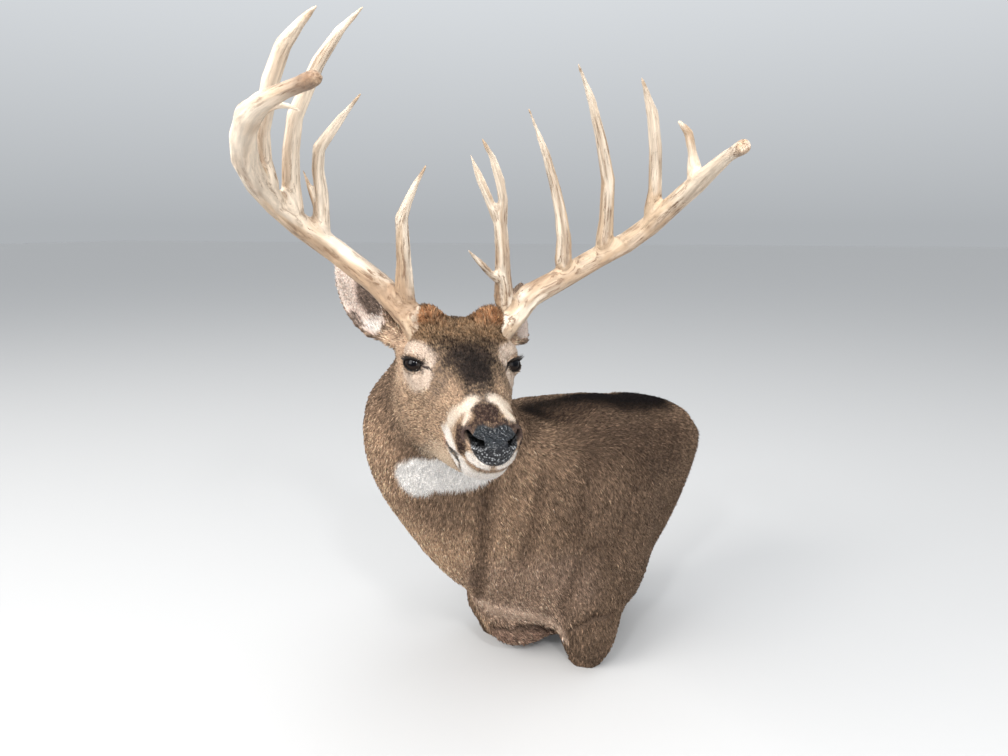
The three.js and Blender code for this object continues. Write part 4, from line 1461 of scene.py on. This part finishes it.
def skin_material():
    """Short speckled fur seen as a surface, turning glossy on the bare nose."""
    made = Finish("skin")
    tone = made.spread(made.grain(620.0, 3.0), 0.3, 0.7, 0.55, 1.3)
    return made.done(
        Base_Color=made.mix(1.0, made.layer(MARK, "Color"), tone, "MULTIPLY"),
        Roughness=made.spread(made.layer(SHINE, "Fac"), 0.0, 1.0, 0.85, 0.08),
        Specular_IOR_Level=0.28,
        Normal=made.bump(made.grain(230.0, 1.0), 1.0, 0.005),
    )


def coat_material():
    """Dry hair: the tuft's own colour with a soft sheen."""
    made = Finish("coat")
    tone = made.spread(made.grain(900.0), 0.3, 0.7, 0.75, 1.22)
    return made.done(
        Base_Color=made.mix(1.0, made.layer(MARK, "Color"), tone, "MULTIPLY"),
        Roughness=0.75,
        Specular_IOR_Level=0.12,
    )


def antler_material():
    """Dry bone: drawn-out grain, and dark cracks and pits where the bone is pitted."""
    made = Finish("antler")
    place = made.layer(GRAIN, "Vector")
    grain = made.grain(0.9, 4.0, 0.6, place)
    tone = made.spread(grain, 0.35, 0.65, 0.74, 1.12)
    dappled = made.mix(1.0, made.layer(MARK, "Color"), tone, "MULTIPLY")
    dark = made.spread(made.grain(0.85, 6.0, 0.78, place), 0.53, 0.59, 0.0, 0.95)
    inputs = {0: dark, 1: made.layer(SHINE, "Fac")}
    share = made.add("Math", "Value", inputs, operation="MULTIPLY")
    height = made.add("Math", "Value", {0: grain, 1: share}, operation="SUBTRACT")
    return made.done(
        Base_Color=made.mix(share, dappled, (*STAIN, 1)),
        Roughness=made.spread(grain, 0.3, 0.7, 0.42, 0.62),
        Normal=made.bump(height, 0.6, 0.0008),
    )


def eye_material():
    made = Finish("eye_glass")
    return made.done(Base_Color=made.layer(MARK, "Color"), Roughness=0.04, Specular_IOR_Level=0.12)


def rim_material():
    made = Finish("lid_rim")
    colour = made.ramp(made.grain(700.0), (0.002, 0.002, 0.002), (0.010, 0.007, 0.006))
    return made.done(Base_Color=colour, Roughness=0.5, Specular_IOR_Level=0.04)


def lash_material():
    made = Finish("lash")
    colour = made.ramp(made.grain(300.0), (0.004, 0.003, 0.003), (0.030, 0.020, 0.014))
    return made.done(Base_Color=colour, Roughness=0.5)


def wood_material():
    """Sawn softwood with drawn-out grain lines."""
    made = Finish("wood")
    inputs = {"Vector": made.place(), "Scale": (60.0, 60.0, 5.0)}
    rings = made.grain(1.0, 6.0, place=made.add("Mapping", "Vector", inputs))
    return made.done(
        Base_Color=made.ramp(rings, (0.25, 0.13, 0.06), (0.52, 0.33, 0.18), 0.3, 0.7),
        Roughness=0.6,
        Normal=made.bump(rings, 0.3, 0.001),
    )


def steel_material():
    """Zinc-plated steel with faint blotches."""
    made = Finish("steel")
    spots = made.grain(90.0, 5.0)
    return made.done(
        Base_Color=made.ramp(spots, (0.35, 0.36, 0.38), (0.62, 0.63, 0.64)),
        Roughness=made.spread(spots, 0.0, 1.0, 0.25, 0.5),
        Metallic=1.0,
    )


# ---------------- stage
CAMERA_PLACE = (0.181, -1.556, 0.565)
CAMERA_AZIMUTH = math.radians(16.4)
CAMERA_DOWN = math.radians(11.9)
CAMERA_LENS = 26.0
HORIZON = (0.43, 0.45, 0.47, 1)
SKY = (0.76, 0.79, 0.82, 1)


def make_camera():
    data = bpy.data.cameras.new("camera")
    data.lens = CAMERA_LENS
    data.sensor_width = 36.0
    camera = new_object("camera", data)
    camera.location = CAMERA_PLACE
    camera.rotation_euler = (math.pi / 2 - CAMERA_DOWN, 0, CAMERA_AZIMUTH)
    bpy.context.scene.camera = camera


def make_light(name, place, aim, power, size, colour):
    data = bpy.data.lights.new(name, "AREA")
    data.energy = power
    data.size = size
    data.color = colour
    light = new_object(name, data)
    light.location = place
    light.rotation_euler = (Vector(aim) - Vector(place)).to_track_quat("-Z", "Y").to_euler()


def make_stage():
    """The floor, the soft lights and the pale surroundings."""
    mesh = bpy.data.meshes.new("floor")
    reach = 30
    corners = [(-reach, -reach), (reach, -reach), (reach, reach), (-reach, reach)]
    mesh.from_pydata([(x, y, FLATS - 0.0005) for x, y in corners], [], [(0, 1, 2, 3)])
    material = Finish("floor").done(Base_Color=(0.50, 0.50, 0.50, 1), Roughness=0.7)
    new_object("floor", mesh, material)
    aim = (-0.05, -0.45, 0.25)
    make_light("key", (-3.2, -4.0, 3.0), aim, 330, 3.0, (1.0, 0.97, 0.93))
    make_light("fill", (3.8, -4.2, 1.9), aim, 130, 3.6, (1.0, 0.98, 0.96))
    make_light("top", (0.6, -0.9, 4.6), aim, 84, 3.0, (1.0, 1.0, 1.0))
    make_light("sparkle", (-0.25, -2.6, 1.9), aim, 24, 0.24, (1.0, 1.0, 1.0))
    make_light("gleam", (0.60, -1.90, 1.35), aim, 14, 0.14, (1.0, 1.0, 1.0))
    world = bpy.data.worlds.new("studio")
    world.use_nodes = True
    nodes = world.node_tree.nodes
    links = world.node_tree.links
    place = nodes.new("ShaderNodeTexCoord")
    parts = nodes.new("ShaderNodeSeparateXYZ")
    ramp = nodes.new("ShaderNodeValToRGB")
    links.new(place.outputs["Generated"], parts.inputs["Vector"])
    links.new(parts.outputs["Z"], ramp.inputs["Fac"])
    links.new(ramp.outputs["Color"], nodes["Background"].inputs["Color"])
    ramp.color_ramp.elements[0].position = 0.0
    ramp.color_ramp.elements[0].color = HORIZON
    ramp.color_ramp.elements[1].position = 0.35
    ramp.color_ramp.elements[1].color = SKY
    bpy.context.scene.world = world
    bpy.context.scene.view_settings.view_transform = "Standard"


# ---------------- everything
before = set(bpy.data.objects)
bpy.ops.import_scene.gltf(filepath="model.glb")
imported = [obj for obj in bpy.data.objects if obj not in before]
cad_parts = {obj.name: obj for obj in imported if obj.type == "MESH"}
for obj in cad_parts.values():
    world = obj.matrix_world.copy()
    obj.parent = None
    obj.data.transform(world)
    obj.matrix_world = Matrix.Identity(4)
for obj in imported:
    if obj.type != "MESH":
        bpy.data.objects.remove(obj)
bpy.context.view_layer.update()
eyes = {name: Eye(name) for name in SIDES}

make_camera()
make_stage()

skin_mesh = make_skin()
skin_colours = markings(points_of(skin_mesh), normals_of(skin_mesh))
colour_points(skin_mesh, skin_colours)
number_points(skin_mesh, SHINE, pad_mask(in_head(points_of(skin_mesh))))
skin = new_object("skin", skin_mesh, skin_material())
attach(skin, "root")
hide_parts(*FLESH, "ear_right", "ear_left")

make_coat(Surface(skin_mesh, skin_colours), coat_material())

horn = antler_material()
glass = eye_material()
rims = rim_material()
lash = lash_material()
for side_name in SIDES:
    make_antler(side_name, horn)
    make_eye(eyes[side_name], glass)
    make_lids(eyes[side_name], rims, lash)

for node_name, finish in (("back_board", wood_material()), ("hanger", steel_material())):
    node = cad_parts[node_name]
    node.data.materials.clear()
    node.data.materials.append(finish)
